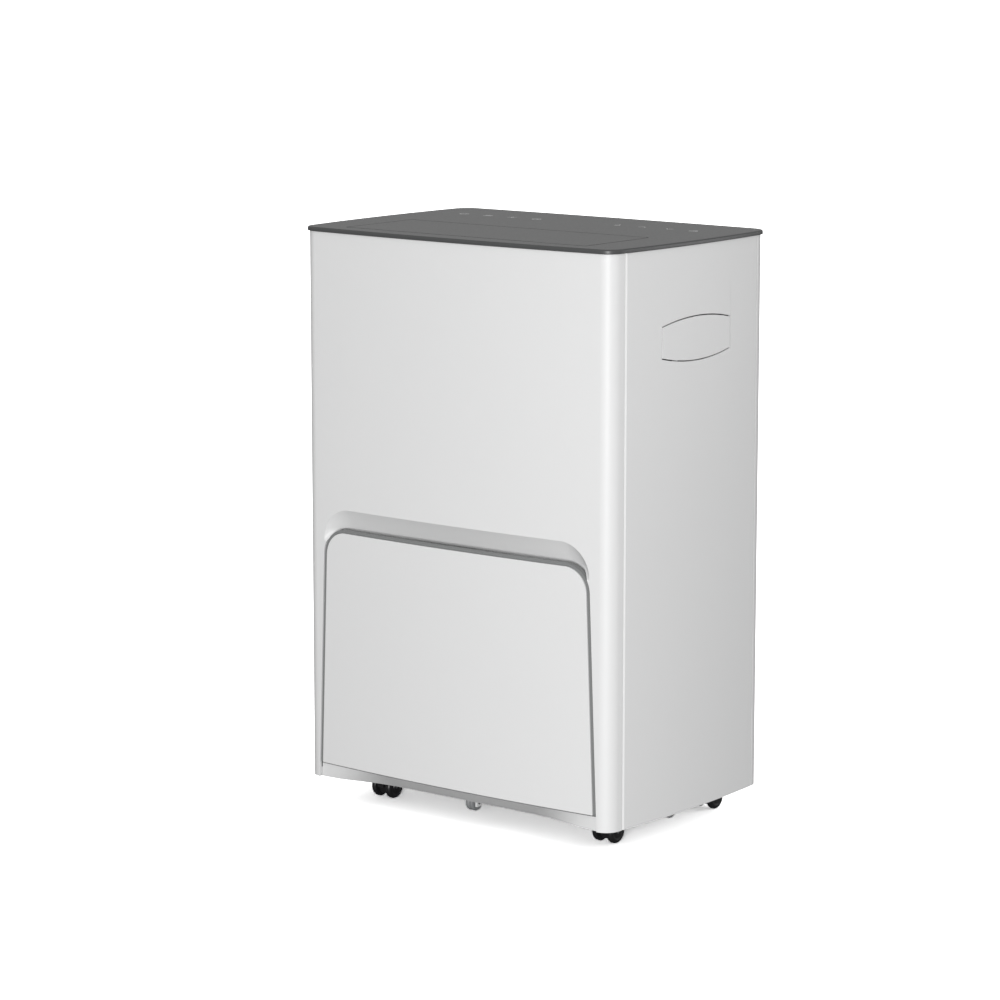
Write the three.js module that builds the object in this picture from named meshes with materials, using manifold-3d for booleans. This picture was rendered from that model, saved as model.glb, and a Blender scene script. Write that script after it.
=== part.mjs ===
// A portable compressor dehumidifier on four twin-wheel castors: a bowed plastic cabinet with a
// pull-out water tank low at the front, a motor-driven outlet louvre in the top, an intake
// cassette with its filter at the back, and the refrigeration parts inside.
//
// Units are millimetres. +Z is up, the front (the tank side) faces -Y and +X is to the right of
// someone who stands in front of it. The origin is on the floor, under the middle of the cabinet.
import * as THREE from "three";
import { mergeVertices } from "three/addons/utils/BufferGeometryUtils.js";
import Module from "manifold-3d";

const wasm = await Module();
wasm.setup();

// ---- driving dimensions ---------------------------------------------------------------------

const GAP = 0.4; // air left between pieces that touch on the real object
const RUNNING = 0.35; // radial clearance of a pin or shaft in its hole
const WALL = 2.8; // moulded shell thickness

// Cabinet plan: a rectangle whose four sides bow outwards, with rounded corners.
const BODY_W = 397; // corner to corner, before rounding
const BODY_DEPTH = 278.3; // over the bowed front and rear
const FRONT_BOW = 7.8;
const REAR_BOW = 3.5;
const SIDE_BOW = 6.6;
const FRONT_R = 16;
const REAR_R = 18;

// Cabinet heights.
const BASE_Z = 30.5; // underside of the cabinet, which is the castor height
const BODY_H = 582;
const TOP_T = 5; // thickness of the dark top panel
const TOP_OVERHANG = 2.3;

// Seams between the front housing, the side panels and the rear housing.
const FRONT_RETURN = 4.5; // straight part of the front housing past its rounded corner
const SEAM_GAP = 1;
const EDGE_CHAMFER = 2.2; // on the front edge of each side panel

// Water tank face: a trapezium with rounded top corners.
const FACE_BOTTOM_Z = 47;
const FACE_TOP_Z = 298.2;
const FACE_BOTTOM_HALF = 178.9;
const FACE_TOP_HALF = 169.6;
const FACE_R = 26;
const FACE_T = 3;
const BEZEL_RIM = 3.4; // how far the grey bezel shows round the white face
const BEZEL_T = 3;
const BEZEL_SETBACK = 0.8; // of its lip, behind the surface of the face
const FACE_GAP = 1; // between the bezel and the opening in the front housing

// Finger scoop above the tank.
const SCOOP_TOP_Z = 323.4;
const SCOOP_END_Z = 286; // where its two ends fade out beside the tank
const SCOOP_BACK_Y = -120;
const SCOOP_LIP_Z = 288;
const SCOOP_WALL = 2.6;
const SCOOP_R = 36;
const SCOOP_TUCK = 6; // its back runs on behind the edge of the tank
const SCOOP_TUCK_TOP = 4;

// Toe recess under the tank.
const TOE_DEPTH = 22;
const SILL_SETBACK = 3; // of the recess's upper edge, behind the tank face
const SILL_GAP = 1.8; // below the tank face
const SILL_T = 4; // at its lower edge

// Tank bucket and its bay.
const BUCKET_HALF = 162;
const BUCKET_REAR_Y = 7;
const BUCKET_BOTTOM_Z = 48;
const BUCKET_TOP_Z = 268;
const BUCKET_WALL = 2.5;
const LID_T = 3;
const BAY_CLEAR = 5; // at each side of the bucket
const BAY_WALL = 2;
const BAY_TOP_Z = 330; // leaves room for the tank's handle to swing up
const FLANGE_ABOVE = 20;

// Tank lid, and the float and the carrying handle that hinge on it.
const LID_RIB_DEPTH = 4;
const LID_RIB_T = 2;
const INLET_HALF = 34;
const INLET_Y = [-46, -14];
const POUR_R = 12;
const POUR = [-143, -108];
const FLOAT_X = 110;
const FLOAT_AXIS_Y = -26;
const FLOAT_AXIS_BELOW = 12; // under the bucket's rim
const FLOAT_PIN_R = 1.8;
const FLOAT_BARREL_R = 4;
const FLOAT_ARM_HALF = 14;
const FLOAT_ARM_REACH = 40;
const FLOAT_BLOCK = [40, 44, 26]; // width, depth, height
const FLOAT_EAR_T = 3;
const FLOAT_EAR_HALF = 5;
const HANDLE_X = 138;
const HANDLE_AXIS_Y = -52;
const HANDLE_AXIS_ABOVE = 5; // over the lid
const HANDLE_PIN_R = 2;
const HANDLE_SECTION = 6;
const HANDLE_REACH = 46;
const HANDLE_GRIP = 9;
const BOSS_T = 6;
const BOSS_HALF = 5;

// Outlet louvre in the top panel.
const LOUVRE_HALF = 155;
const LOUVRE_FRONT_Y = -115.8;
const LOUVRE_REAR_Y = -10.5;
const LOUVRE_T = 3;
const LOUVRE_GAP = 0.8;
const LOUVRE_PIN_R = 1.4;
const LOUVRE_PIN_LENGTH = 6;
const COLLAR_DEPTH = 22;
const COLLAR_WALL = 2.5;
const SKIRT_DEPTH = 8;
const SKIRT_T = 2;
const GRILLE_H = 6;
const GRILLE_BLADE = 2;
const GRILLE_ROWS = 7;
const GRILLE_COLUMNS = 4;

// Control board and louvre motor, both under the top panel.
const CONTROL_HALF = 170;
const CONTROL_Y = [58, 98];
const CONTROL_T = 3;
const CONTROL_DROP = 3;
const LOUVRE_MOTOR_R = 12;
const LOUVRE_MOTOR_L = 15.6;
const LOUVRE_MOTOR_DROP = 14;

// Side grip: a barrel-shaped flap that is pushed in about a hinge along its lower edge.
const GRIP_Y = 6;
const GRIP_Z = 518.5;
const GRIP_HALF = 58.8;
const GRIP_END_HALF = 15.6;
const GRIP_MID_HALF = 22;
const GRIP_GAP = 0.8;
const FLAP_T = 2.5;
const FLAP_AXIS_IN = 9; // hinge axis behind the outer face
const FLAP_AXIS_BELOW = 3; // and below the flap's lowest point
const FLAP_ROD_R = 2;
const FLAP_ARM_Y = 30;
const FLAP_ARM_T = 3;
const POCKET_DEPTH = 50;
const POCKET_HALF_Y = 66;
const POCKET_BELOW = 12;
const POCKET_ABOVE = 20;
const POCKET_WALL = 2;

// Twin-wheel castors.
const CASTOR_X = 147.8;
const CASTOR_FRONT_Y = -63.6; // wheel centres
const CASTOR_REAR_Y = 113.2;
const CASTOR_TRAIL = 8; // wheel axle behind the swivel axis
const WHEEL_R = 12.5;
const WHEEL_T = 6.4;
const WHEEL_OFFSET = 9.8; // from the castor's middle to each wheel's middle
const WHEEL_SIDES = 20;
const TREAD_EDGE = [2.2, 1.4]; // the slope at the tread's edge: across the radius, along the axle
const WEB_T = 8;
const WEB_R = 9;
const AXLE_R = 1.8;
const STEM_R = 4;
const STEM_H = 13;
const CASTOR_HEAD_R = 12;
const CASTOR_HEAD_T = 3;

// Grey anti-tip rollers under the front and the two sides.
const SKID_R = 9.5;
const SKID_T = 9;
const SKID_BOTTOM_Z = 16.5;
const SKID_FRONT_Y = -98.7;
const SKID_SIDE_X = 176;
const SKID_SIDE_Y = 2;
const SKID_PIN_R = 2.2;
const SKID_EAR_T = 2.4;
const SKID_EAR_HALF = 4.5;
const SKID_EDGE = 1.2;
const SKID_CLEAR = 1.5; // round each roller in its well
const SKID_WELL_WALL = 2;

// Base pan.
const PAN_T = 3;
const PAN_RIM_H = 10;
const PAN_RIM_T = 2.4;
const SOCKET_R = 8;

// Air path: intake, coils, blower.
const INTAKE_HALF = 150;
const INTAKE_BOTTOM_Z = 376;
const INTAKE_TOP_Z = 592;
const INTAKE_FIT = 0.8;
const SLOT_ROWS = 14;
const SLOT_COLUMNS = 4;
const SLOT_H = 8;
const SLOT_SPACE = 8; // between slots in a row
const INTAKE_EDGE = [8, 10]; // plain border: at the sides, above and below
const FILTER_INSET = 4;
const FILTER_RIM = 7;
const FILTER_T = 3.2;
const MESH_T = 1.2;
const COIL_HALF = 138;
const COIL_BOTTOM_Z = 372;
const COIL_TOP_Z = 588;
const COIL_T = 24;
const EVAPORATOR_Y = 106;
const CONDENSER_Y = 76;
const COIL_ROWS = 6;
const TUBE_R = 3.5;
const BEND_REACH = 9;
const TRAY_MARGIN = 5;
const TRAY_WALL = 2;
const TRAY_FLOOR_T = 4;
const CHANNEL_H = 14;
const NOZZLE_R = 8;
const NOZZLE_BORE_R = 5.5;
const BLOWER_Z = 455;
const BLOWER_R = 90;
const BLOWER_BLADES = 24;
const BLOWER_REAR_Y = -24;
const BLOWER_W = 56;
const SCROLL_R = 106;
const SCROLL_WALL = 2.5;
const SHAFT_R = 4;
const MOTOR_R = 40;
const SIDE_CLEAR = 8; // between the wheel and each side of the scroll
const HUB_R = 12;
const HUB_L = 24;
const RING_W = 12; // radial width of the wheel's front ring and blades

// Refrigeration and electrics behind the bay.
const COMPRESSOR = [-78, 72];
const COMPRESSOR_R = 48;
const COMPRESSOR_TOP_Z = 250;
const COMPRESSOR_DOME = [34, 10]; // radius, height
const FOOT_HALF = [54, 30];
const FOOT_T = 4.5;
const MOUNT_PAD_T = 8;
const MOUNT_INSET = 2;
const ACCUMULATOR = [0, 62];
const ACCUMULATOR_R = 17;
const ACCUMULATOR_Z = [130, 240];
const PIPE_GAP = 2;
const DISCHARGE_R = 3;
const SUCTION_R = 4;
const CAPILLARY_R = 1.6;
const ELECTRONICS = { x: [60, 165], y: [34, 66], z: [60, 240] };
const CAPACITOR = [40, 100];
const CAPACITOR_R = 15;
const CAPACITOR_Z = [60, 130];

// Openings in the rear housing.
const DRAIN_X = -118;
const DRAIN_Z = 350;
const DRAIN_HOLE_R = 11;
const CORD_X = 120;
const CORD_Z = 80;
const CORD_HOLE_R = 7;
const CORD_BORE_R = 3.4;
const GLAND_RIM = 3;

// ---- solids -----------------------------------------------------------------------------------

const X = new THREE.Vector3(1, 0, 0);
const Y = new THREE.Vector3(0, 1, 0);
const Z = new THREE.Vector3(0, 0, 1);

// A closed three.js geometry as a manifold-3d solid.
function solid(geometry) {
  const bare = geometry.index ? geometry.toNonIndexed() : geometry.clone();
  bare.deleteAttribute("normal");
  bare.deleteAttribute("uv");
  const merged = mergeVertices(bare, 1e-4);
  return new wasm.Manifold(
    new wasm.Mesh({
      numProp: 3,
      vertProperties: merged.attributes.position.array,
      triVerts: new Uint32Array(merged.index.array),
    }),
  );
}

// A manifold-3d solid as a three.js geometry with flat faces.
function geometryOf(body) {
  const mesh = body.getMesh();
  const positions = new Float32Array(mesh.numVert * 3);
  for (let i = 0; i < mesh.numVert; i++) {
    for (let k = 0; k < 3; k++) {
      positions[3 * i + k] = mesh.vertProperties[i * mesh.numProp + k];
    }
  }
  const indexed = new THREE.BufferGeometry();
  indexed.setAttribute("position", new THREE.BufferAttribute(positions, 3));
  indexed.setIndex(new THREE.BufferAttribute(new Uint32Array(mesh.triVerts), 1));
  const flat = indexed.toNonIndexed();
  flat.computeVertexNormals();
  return flat;
}

const join = (...bodies) => bodies.reduce((all, one) => all.add(one));
const cut = (body, ...tools) => tools.reduce((left, tool) => left.subtract(tool), body);

// Extrudes an outline of [a, b] points. along says which axis the extrusion follows:
// "z" takes points as x, y; "y" takes them as x, z; "x" takes them as y, z.
function prism(points, from, to, along = "z") {
  const shape = new THREE.Shape(points.map(([a, b]) => new THREE.Vector2(a, b)));
  const geometry = new THREE.ExtrudeGeometry(shape, {
    depth: to - from,
    bevelEnabled: false,
  });
  const basis = new THREE.Matrix4();
  if (along === "z") {
    geometry.translate(0, 0, from);
  } else if (along === "y") {
    basis.makeBasis(X, Z, Y.clone().negate());
    geometry.applyMatrix4(basis).translate(0, to, 0);
  } else {
    basis.makeBasis(Y, Z, X);
    geometry.applyMatrix4(basis).translate(from, 0, 0);
  }
  return solid(geometry);
}

function box(x0, x1, y0, y1, z0, z1) {
  const geometry = new THREE.BoxGeometry(x1 - x0, y1 - y0, z1 - z0);
  geometry.translate((x0 + x1) / 2, (y0 + y1) / 2, (z0 + z1) / 2);
  return solid(geometry);
}

// A cylinder along an axis, from one coordinate to another on it, at [a, b] across it.
function rod(axis, radius, from, to, [a, b], sides = 20) {
  const geometry = new THREE.CylinderGeometry(radius, radius, to - from, sides);
  const middle = (from + to) / 2;
  if (axis === "x") {
    geometry.rotateZ(-Math.PI / 2).translate(middle, a, b);
  } else if (axis === "y") {
    geometry.translate(a, middle, b);
  } else {
    geometry.rotateX(Math.PI / 2).translate(a, b, middle);
  }
  return solid(geometry);
}

// Half a profile of [radius, along] points, mirrored about along = 0 and turned about the X axis.
// The half runs from the middle of the outer surface to the bore, or to the axis.
function turned(half, sides, firstAngle = 0) {
  const mirrored = half.map(([r, t]) => [r, -t]).reverse();
  const profile = [...mirrored, ...half];
  if (half[half.length - 1][0] > 0) {
    profile.push(profile[0]);
  }
  const points = profile.map(([r, t]) => new THREE.Vector2(r, t));
  const geometry = new THREE.LatheGeometry(points, sides, firstAngle);
  geometry.rotateZ(-Math.PI / 2);
  return solid(geometry);
}

// A solid through rings of [x, y, z] points, each counterclockwise about the way the loft goes.
function loft(rings) {
  const n = rings[0].length;
  const faces = [];
  for (let k = 0; k < rings.length - 1; k++) {
    for (let i = 0; i < n; i++) {
      const a = n * k + i;
      const b = n * k + ((i + 1) % n);
      faces.push(a, b, a + n, b, b + n, a + n);
    }
  }
  const last = n * (rings.length - 1);
  for (let i = 1; i < n - 1; i++) {
    faces.push(0, i + 1, i, last, last + i, last + i + 1);
  }
  const geometry = new THREE.BufferGeometry();
  const positions = new THREE.Float32BufferAttribute(rings.flat(2), 3);
  geometry.setAttribute("position", positions);
  geometry.setIndex(faces);
  return solid(geometry);
}

// A round pipe along a smooth curve through the given points.
function pipe(points, radius, steps) {
  const curve = new THREE.CatmullRomCurve3(points.map((p) => new THREE.Vector3(...p)));
  const section = new THREE.Shape(circlePoints(radius, 8).map((p) => new THREE.Vector2(...p)));
  return solid(new THREE.ExtrudeGeometry(section, { steps, extrudePath: curve }));
}

// ---- outlines -----------------------------------------------------------------------------------

function circlePoints(radius, sides) {
  return Array.from({ length: sides }, (_, i) => {
    const angle = (2 * Math.PI * i) / sides;
    return [radius * Math.cos(angle), radius * Math.sin(angle)];
  });
}

function arcPoints([cx, cy], radius, from, to, steps) {
  return Array.from({ length: steps + 1 }, (_, i) => {
    const angle = from + ((to - from) * i) / steps;
    return [cx + radius * Math.cos(angle), cy + radius * Math.sin(angle)];
  });
}

const FRONT_CORNER_Y = -BODY_DEPTH / 2 + FRONT_BOW;
const REAR_CORNER_Y = BODY_DEPTH / 2 - REAR_BOW;

// The circle that a bowed side lies on: half its chord, and its bow.
const bowRadius = (half, bow) => (half * half + bow * bow) / (2 * bow);

// The four sides in turn, counterclockwise from the front: the circle's centre, its radius,
// the direction the side faces, the rounding of the corner that follows it, and its steps.
const sideHalf = (REAR_CORNER_Y - FRONT_CORNER_Y) / 2;
const middleY = (REAR_CORNER_Y + FRONT_CORNER_Y) / 2;
const frontRadius = bowRadius(BODY_W / 2, FRONT_BOW);
const rearRadius = bowRadius(BODY_W / 2, REAR_BOW);
const sideRadius = bowRadius(sideHalf, SIDE_BOW);
const sideReach = BODY_W / 2 + SIDE_BOW;
const SIDES = [
  { centre: [0, frontRadius - BODY_DEPTH / 2], radius: frontRadius, corner: FRONT_R, steps: 12 },
  { centre: [sideReach - sideRadius, middleY], radius: sideRadius, corner: REAR_R, steps: 8 },
  { centre: [0, BODY_DEPTH / 2 - rearRadius], radius: rearRadius, corner: REAR_R, steps: 8 },
  { centre: [sideRadius - sideReach, middleY], radius: sideRadius, corner: FRONT_R, steps: 8 },
];

// The centre of the rounding between two sides: inside both circles by the rounding's radius.
function cornerCentre(one, two, radius) {
  const [ax, ay] = one.centre;
  const [bx, by] = two.centre;
  const ra = one.radius - radius;
  const rb = two.radius - radius;
  const d = Math.hypot(bx - ax, by - ay);
  const along = (ra * ra - rb * rb + d * d) / (2 * d);
  const across = Math.sqrt(ra * ra - along * along);
  const ux = (bx - ax) / d;
  const uy = (by - ay) / d;
  const options = [-1, 1].map((side) => [
    ax + ux * along - uy * across * side,
    ay + uy * along + ux * across * side,
  ]);
  return options.sort((p, q) => Math.hypot(...p) - Math.hypot(...q))[0];
}

// The cabinet's plan, moved inwards by inset all round.
function cabinetPlan(inset) {
  const corners = SIDES.map((side, i) => cornerCentre(side, SIDES[(i + 1) % 4], side.corner));
  const direction = (from, to) => Math.atan2(to[1] - from[1], to[0] - from[0]);
  const after = (angle, start) => (angle < start - 1e-9 ? angle + 2 * Math.PI : angle);
  const points = [];
  SIDES.forEach((side, i) => {
    const next = SIDES[(i + 1) % 4];
    const before = corners[(i + 3) % 4];
    const start = direction(side.centre, before);
    const end = after(direction(side.centre, corners[i]), start);
    points.push(...arcPoints(side.centre, side.radius - inset, start, end, side.steps));
    const turn = after(direction(next.centre, corners[i]), end);
    const round = Math.max(side.corner - inset, 0.4);
    points.push(...arcPoints(corners[i], round, end, turn, 5).slice(1, -1));
  });
  return points;
}

const ring = (outer, inner, z0, z1) =>
  cut(prism(cabinetPlan(outer), z0, z1), prism(cabinetPlan(inner), z0 - 1, z1 + 1));

// The front face's y at a given x, moved inwards by inset.
function frontY(x, inset = 0) {
  const radius = frontRadius - inset;
  return frontRadius - BODY_DEPTH / 2 - Math.sqrt(radius * radius - x * x);
}

// The rear face's y at a given x.
const rearY = (x) => BODY_DEPTH / 2 - rearRadius + Math.sqrt(rearRadius * rearRadius - x * x);

// A trapezium symmetric about x = 0 with its two top corners rounded, as [x, z] points.
function roundedTrapezium(bottomHalf, topHalf, bottomZ, topZ, radius) {
  const lean = Math.atan2(bottomHalf - topHalf, topZ - bottomZ);
  const centreX = topHalf - radius * Math.tan(Math.PI / 4 - lean / 2);
  const right = arcPoints([centreX, topZ - radius], radius, lean, Math.PI / 2, 6);
  const left = right.map(([x, z]) => [-x, z]).reverse();
  return [[-bottomHalf, bottomZ], [bottomHalf, bottomZ], ...right, ...left];
}

// The tank face's outline, grown by margin. Other heights carry on along the same leaning sides.
function faceOutline(
  margin,
  bottomZ = FACE_BOTTOM_Z,
  topZ = FACE_TOP_Z + margin,
  radius = FACE_R + margin,
) {
  const slope = (FACE_BOTTOM_HALF - FACE_TOP_HALF) / (FACE_TOP_Z - FACE_BOTTOM_Z);
  const halfAt = (z) => FACE_BOTTOM_HALF + margin - slope * (z - FACE_BOTTOM_Z);
  return roundedTrapezium(halfAt(bottomZ), halfAt(topZ), bottomZ, topZ, radius);
}

// The barrel shape of the side grip as [y, z] points, grown by margin.
function gripOutline(margin) {
  const half = GRIP_HALF + margin;
  const bow = GRIP_MID_HALF - GRIP_END_HALF;
  const radius = bowRadius(GRIP_HALF, bow);
  const spread = Math.asin(half / (radius + margin));
  const centre = GRIP_Z + GRIP_MID_HALF - radius;
  const top = arcPoints(
    [GRIP_Y, centre],
    radius + margin,
    Math.PI / 2 - spread,
    Math.PI / 2 + spread,
    8,
  );
  const bottom = top.map(([y, z]) => [2 * GRIP_Y - y, 2 * GRIP_Z - z]);
  return [...top, ...bottom];
}

// ---- materials ----------------------------------------------------------------------------------

const material = (color, roughness, metalness = 0) =>
  new THREE.MeshStandardMaterial({ color, roughness, metalness });
const WHITE = material(0xe9e9e8, 0.42);
const CHARCOAL = material(0x5c5d5d, 0.35);
const GREY = material(0x8a8c8e, 0.45);
const BLACK = material(0x161617, 0.5);
const SMOKE = material(0xb4bcc0, 0.2);
const STEEL = material(0xb9bcc0, 0.35, 1);
const COPPER = material(0xb8714a, 0.35, 1);
const FINS = material(0xc9ccd0, 0.4, 1);
const ENAMEL = material(0x1d1e20, 0.4);
const BOARD = material(0x1f5a37, 0.6);
const FOAM = material(0xd8d5cb, 0.95);

const object = new THREE.Group();

// Adds a solid as one named mesh, to the object or to a group inside it.
function add(name, body, finish, parent = object) {
  const mesh = new THREE.Mesh(geometryOf(body), finish);
  mesh.name = name;
  parent.add(mesh);
  return mesh;
}

// ---- cabinet shells -----------------------------------------------------------------------------

const TOP_Z = BASE_Z + BODY_H; // underside of the top panel
const FAR = 400; // reaches past everything
const PROUD = 0.2; // how far a cutter starts outside the surface that it cuts
const FRONT_SEAM_Y = cornerCentre(SIDES[0], SIDES[1], FRONT_R)[1] + FRONT_RETURN;
const REAR_SEAM_Y = cornerCentre(SIDES[1], SIDES[2], REAR_R)[1];

// Cuts the finger scoop: rings that shrink and deepen from its outer edge on the face to its
// back, steeply at first. The depth fades out down the two sides of the tank.
function scoopCutter(margin) {
  const steps = 6;
  const parts = 10; // the straight top edge is divided, so that it follows the bow
  const split = (outline) => {
    const half = outline.length / 2;
    const [from, to] = [outline[half], outline[half + 1]];
    const between = Array.from({ length: parts - 1 }, (_, i) => [
      from[0] + ((to[0] - from[0]) * (i + 1)) / parts,
      from[1],
    ]);
    return [...outline.slice(0, half + 1), ...between, ...outline.slice(half + 1)];
  };
  const outer = split(faceOutline(margin, SCOOP_END_Z, SCOOP_TOP_Z, SCOOP_R));
  const innerTop = FACE_TOP_Z - SCOOP_TUCK_TOP;
  const inner = split(faceOutline(margin - SCOOP_TUCK, SCOOP_END_Z, innerTop, FACE_R));
  const ringAt = (t) =>
    outer.map(([ax, az], i) => {
      const [bx, bz] = inner[i];
      const x = ax + (bx - ax) * t;
      const z = az + (bz - az) * t;
      const fade = Math.min(1, (z - SCOOP_END_Z) / (FACE_TOP_Z - SCOOP_END_Z));
      const deep = (SCOOP_BACK_Y - frontY(x)) * fade * t * (1.4 - 0.4 * t);
      return [x, frontY(x) - PROUD + deep, z];
    });
  const rings = Array.from({ length: steps + 1 }, (_, k) => ringAt(1 - k / steps));
  const mouth = rings[steps].map(([x, , z]) => [x, -BODY_DEPTH, z]);
  return loft([...rings, mouth]);
}

// Front wall with the tank opening, the finger scoop and the two rounded columns beside the tank.
function frontHousing() {
  const margin = BEZEL_RIM + FACE_GAP;
  const behind = SCOOP_BACK_Y + SCOOP_WALL;
  const wall = ring(0, WALL, BASE_Z, TOP_Z).intersect(
    box(-FAR, FAR, -FAR, FRONT_SEAM_Y, 0, FAR * 2),
  );
  const opening = prism(faceOutline(margin, 0), -FAR, SCOOP_BACK_Y, "y");
  const blockHalf = FACE_TOP_HALF + margin + SCOOP_WALL;
  const block = prism(cabinetPlan(WALL / 2), SCOOP_LIP_Z, SCOOP_TOP_Z + SCOOP_WALL).intersect(
    box(-blockHalf, blockHalf, -FAR, behind, 0, FAR),
  );
  return cut(join(wall, block), opening, scoopCutter(margin));
}
add("front_housing", frontHousing(), WHITE);

// A flat-looking bowed side wall with a chamfered front edge and the grip's opening.
function sidePanel(side) {
  const front = FRONT_SEAM_Y + SEAM_GAP;
  const half = side > 0 ? [0, FAR] : [-FAR, 0];
  const wall = ring(0, WALL, BASE_Z, TOP_Z).intersect(
    box(...half, front, REAR_SEAM_Y - SEAM_GAP, 0, FAR * 2),
  );
  const outer = sideReach - sideRadius + Math.sqrt(sideRadius ** 2 - (front - middleY) ** 2);
  const chamfer = prism(
    [
      [side * (outer - EDGE_CHAMFER), front - 1],
      [side * (outer + EDGE_CHAMFER), front - 1],
      [side * (outer + EDGE_CHAMFER), front + 2 * EDGE_CHAMFER],
      [side * outer, front + EDGE_CHAMFER],
      [side * (outer - EDGE_CHAMFER), front],
    ],
    0,
    FAR * 2,
  );
  const opening = prism(gripOutline(GRIP_GAP), ...half, "x");
  return cut(wall, chamfer, opening);
}
add("right_side_panel", sidePanel(1), WHITE);
add("left_side_panel", sidePanel(-1), WHITE);

// Rear wall with its rounded corners, the intake opening, the drain hole and the cord hole.
function rearHousing() {
  const wall = ring(0, WALL, BASE_Z, TOP_Z).intersect(
    box(-FAR, FAR, REAR_SEAM_Y, FAR, 0, FAR * 2),
  );
  const half = INTAKE_HALF + INTAKE_FIT;
  const intake = box(
    -half,
    half,
    0,
    FAR,
    INTAKE_BOTTOM_Z - INTAKE_FIT,
    INTAKE_TOP_Z + INTAKE_FIT,
  );
  const drain = rod("y", DRAIN_HOLE_R, 0, FAR, [DRAIN_X, DRAIN_Z]);
  const cord = rod("y", CORD_HOLE_R, 0, FAR, [CORD_X, CORD_Z]);
  return cut(wall, intake, drain, cord);
}
add("rear_housing", rearHousing(), WHITE);

// Dark top panel: a slab that overhangs the shells, a skirt inside them and the outlet collar.
const LOUVRE_AXIS_Y = LOUVRE_REAR_Y - LOUVRE_T;
const LOUVRE_AXIS_Z = TOP_Z + TOP_T - LOUVRE_T;
function topPanel() {
  const slab = prism(cabinetPlan(-TOP_OVERHANG), TOP_Z + GAP, TOP_Z + TOP_T);
  const inset = WALL + GAP;
  const skirt = ring(inset, inset + SKIRT_T, TOP_Z - SKIRT_DEPTH, TOP_Z + 2 * GAP);
  const holeX = LOUVRE_HALF + LOUVRE_GAP;
  const holeFront = LOUVRE_FRONT_Y - LOUVRE_GAP;
  const holeRear = LOUVRE_REAR_Y + LOUVRE_GAP;
  const collar = box(
    -holeX - COLLAR_WALL,
    holeX + COLLAR_WALL,
    holeFront - COLLAR_WALL,
    holeRear + COLLAR_WALL,
    TOP_Z - COLLAR_DEPTH,
    TOP_Z + 1,
  );
  const hole = box(-holeX, holeX, holeFront, holeRear, 0, FAR * 2);
  const socket = rod(
    "x",
    LOUVRE_PIN_R + RUNNING,
    -holeX - LOUVRE_PIN_LENGTH,
    holeX + LOUVRE_PIN_LENGTH,
    [LOUVRE_AXIS_Y, LOUVRE_AXIS_Z],
    12,
  );
  return cut(join(slab, skirt, collar), hole, socket);
}
add("top_panel", topPanel(), CHARCOAL);

// Outlet louvre: a flush plate whose rear edge is a round barrel with a stub pin at each end.
function outletLouvre() {
  const top = TOP_Z + TOP_T;
  const plate = box(
    -LOUVRE_HALF,
    LOUVRE_HALF,
    LOUVRE_FRONT_Y,
    LOUVRE_AXIS_Y,
    top - LOUVRE_T,
    top,
  );
  const barrel = rod("x", LOUVRE_T, -LOUVRE_HALF, LOUVRE_HALF, [LOUVRE_AXIS_Y, LOUVRE_AXIS_Z], 24);
  const reach = LOUVRE_HALF + LOUVRE_GAP + LOUVRE_PIN_LENGTH - 1;
  const pins = rod("x", LOUVRE_PIN_R, -reach, reach, [LOUVRE_AXIS_Y, LOUVRE_AXIS_Z], 12);
  return join(plate, barrel, pins);
}
add("outlet_louvre", outletLouvre(), CHARCOAL);

// Fixed grille inside the outlet collar: a frame with blades that run from side to side.
const GRILLE_Z = TOP_Z - COLLAR_DEPTH + GRILLE_BLADE;
function outletGrille() {
  const x = LOUVRE_HALF + LOUVRE_GAP - GAP;
  const front = LOUVRE_FRONT_Y - LOUVRE_GAP + GAP;
  const rear = LOUVRE_REAR_Y + LOUVRE_GAP - GAP;
  let grille = box(-x, x, front, rear, GRILLE_Z, GRILLE_Z + GRILLE_H);
  const blade = GRILLE_BLADE / 2;
  const columnPitch = (2 * x - GRILLE_BLADE) / GRILLE_COLUMNS;
  const rowPitch = (rear - front - GRILLE_BLADE) / GRILLE_ROWS;
  for (let column = 0; column < GRILLE_COLUMNS; column++) {
    const left = -x + blade + columnPitch * column;
    for (let row = 0; row < GRILLE_ROWS; row++) {
      const near = front + blade + rowPitch * row;
      const cellX = [left + blade, left + columnPitch - blade];
      const cellY = [near + blade, near + rowPitch - blade];
      grille = cut(grille, box(...cellX, ...cellY, 0, FAR * 2));
    }
  }
  return grille;
}
add("outlet_grille", outletGrille(), BLACK);

// Touch control board, hung under the top panel behind the louvre.
const controlTop = TOP_Z - CONTROL_DROP;
add(
  "control_board",
  box(-CONTROL_HALF, CONTROL_HALF, ...CONTROL_Y, controlTop - CONTROL_T, controlTop),
  BOARD,
);

// Stepper motor that turns the louvre, beside the collar.
const motorX = LOUVRE_HALF + LOUVRE_GAP + COLLAR_WALL + GAP;
const motorAt = [LOUVRE_AXIS_Y, TOP_Z - LOUVRE_MOTOR_DROP];
add(
  "louvre_motor",
  rod("x", LOUVRE_MOTOR_R, motorX, motorX + LOUVRE_MOTOR_L, motorAt, 16),
  STEEL,
);

// ---- base pan, castors and rollers --------------------------------------------------------------

const skidCentreZ = SKID_BOTTOM_Z + SKID_R;
const SKIDS = [
  ["skid_roller_front", 0, SKID_FRONT_Y],
  ["skid_roller_left", -SKID_SIDE_X, SKID_SIDE_Y],
  ["skid_roller_right", SKID_SIDE_X, SKID_SIDE_Y],
];
const CASTORS = [
  ["castor_front_left", -CASTOR_X, CASTOR_FRONT_Y],
  ["castor_front_right", CASTOR_X, CASTOR_FRONT_Y],
  ["castor_rear_left", -CASTOR_X, CASTOR_REAR_Y],
  ["castor_rear_right", CASTOR_X, CASTOR_REAR_Y],
];

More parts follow.
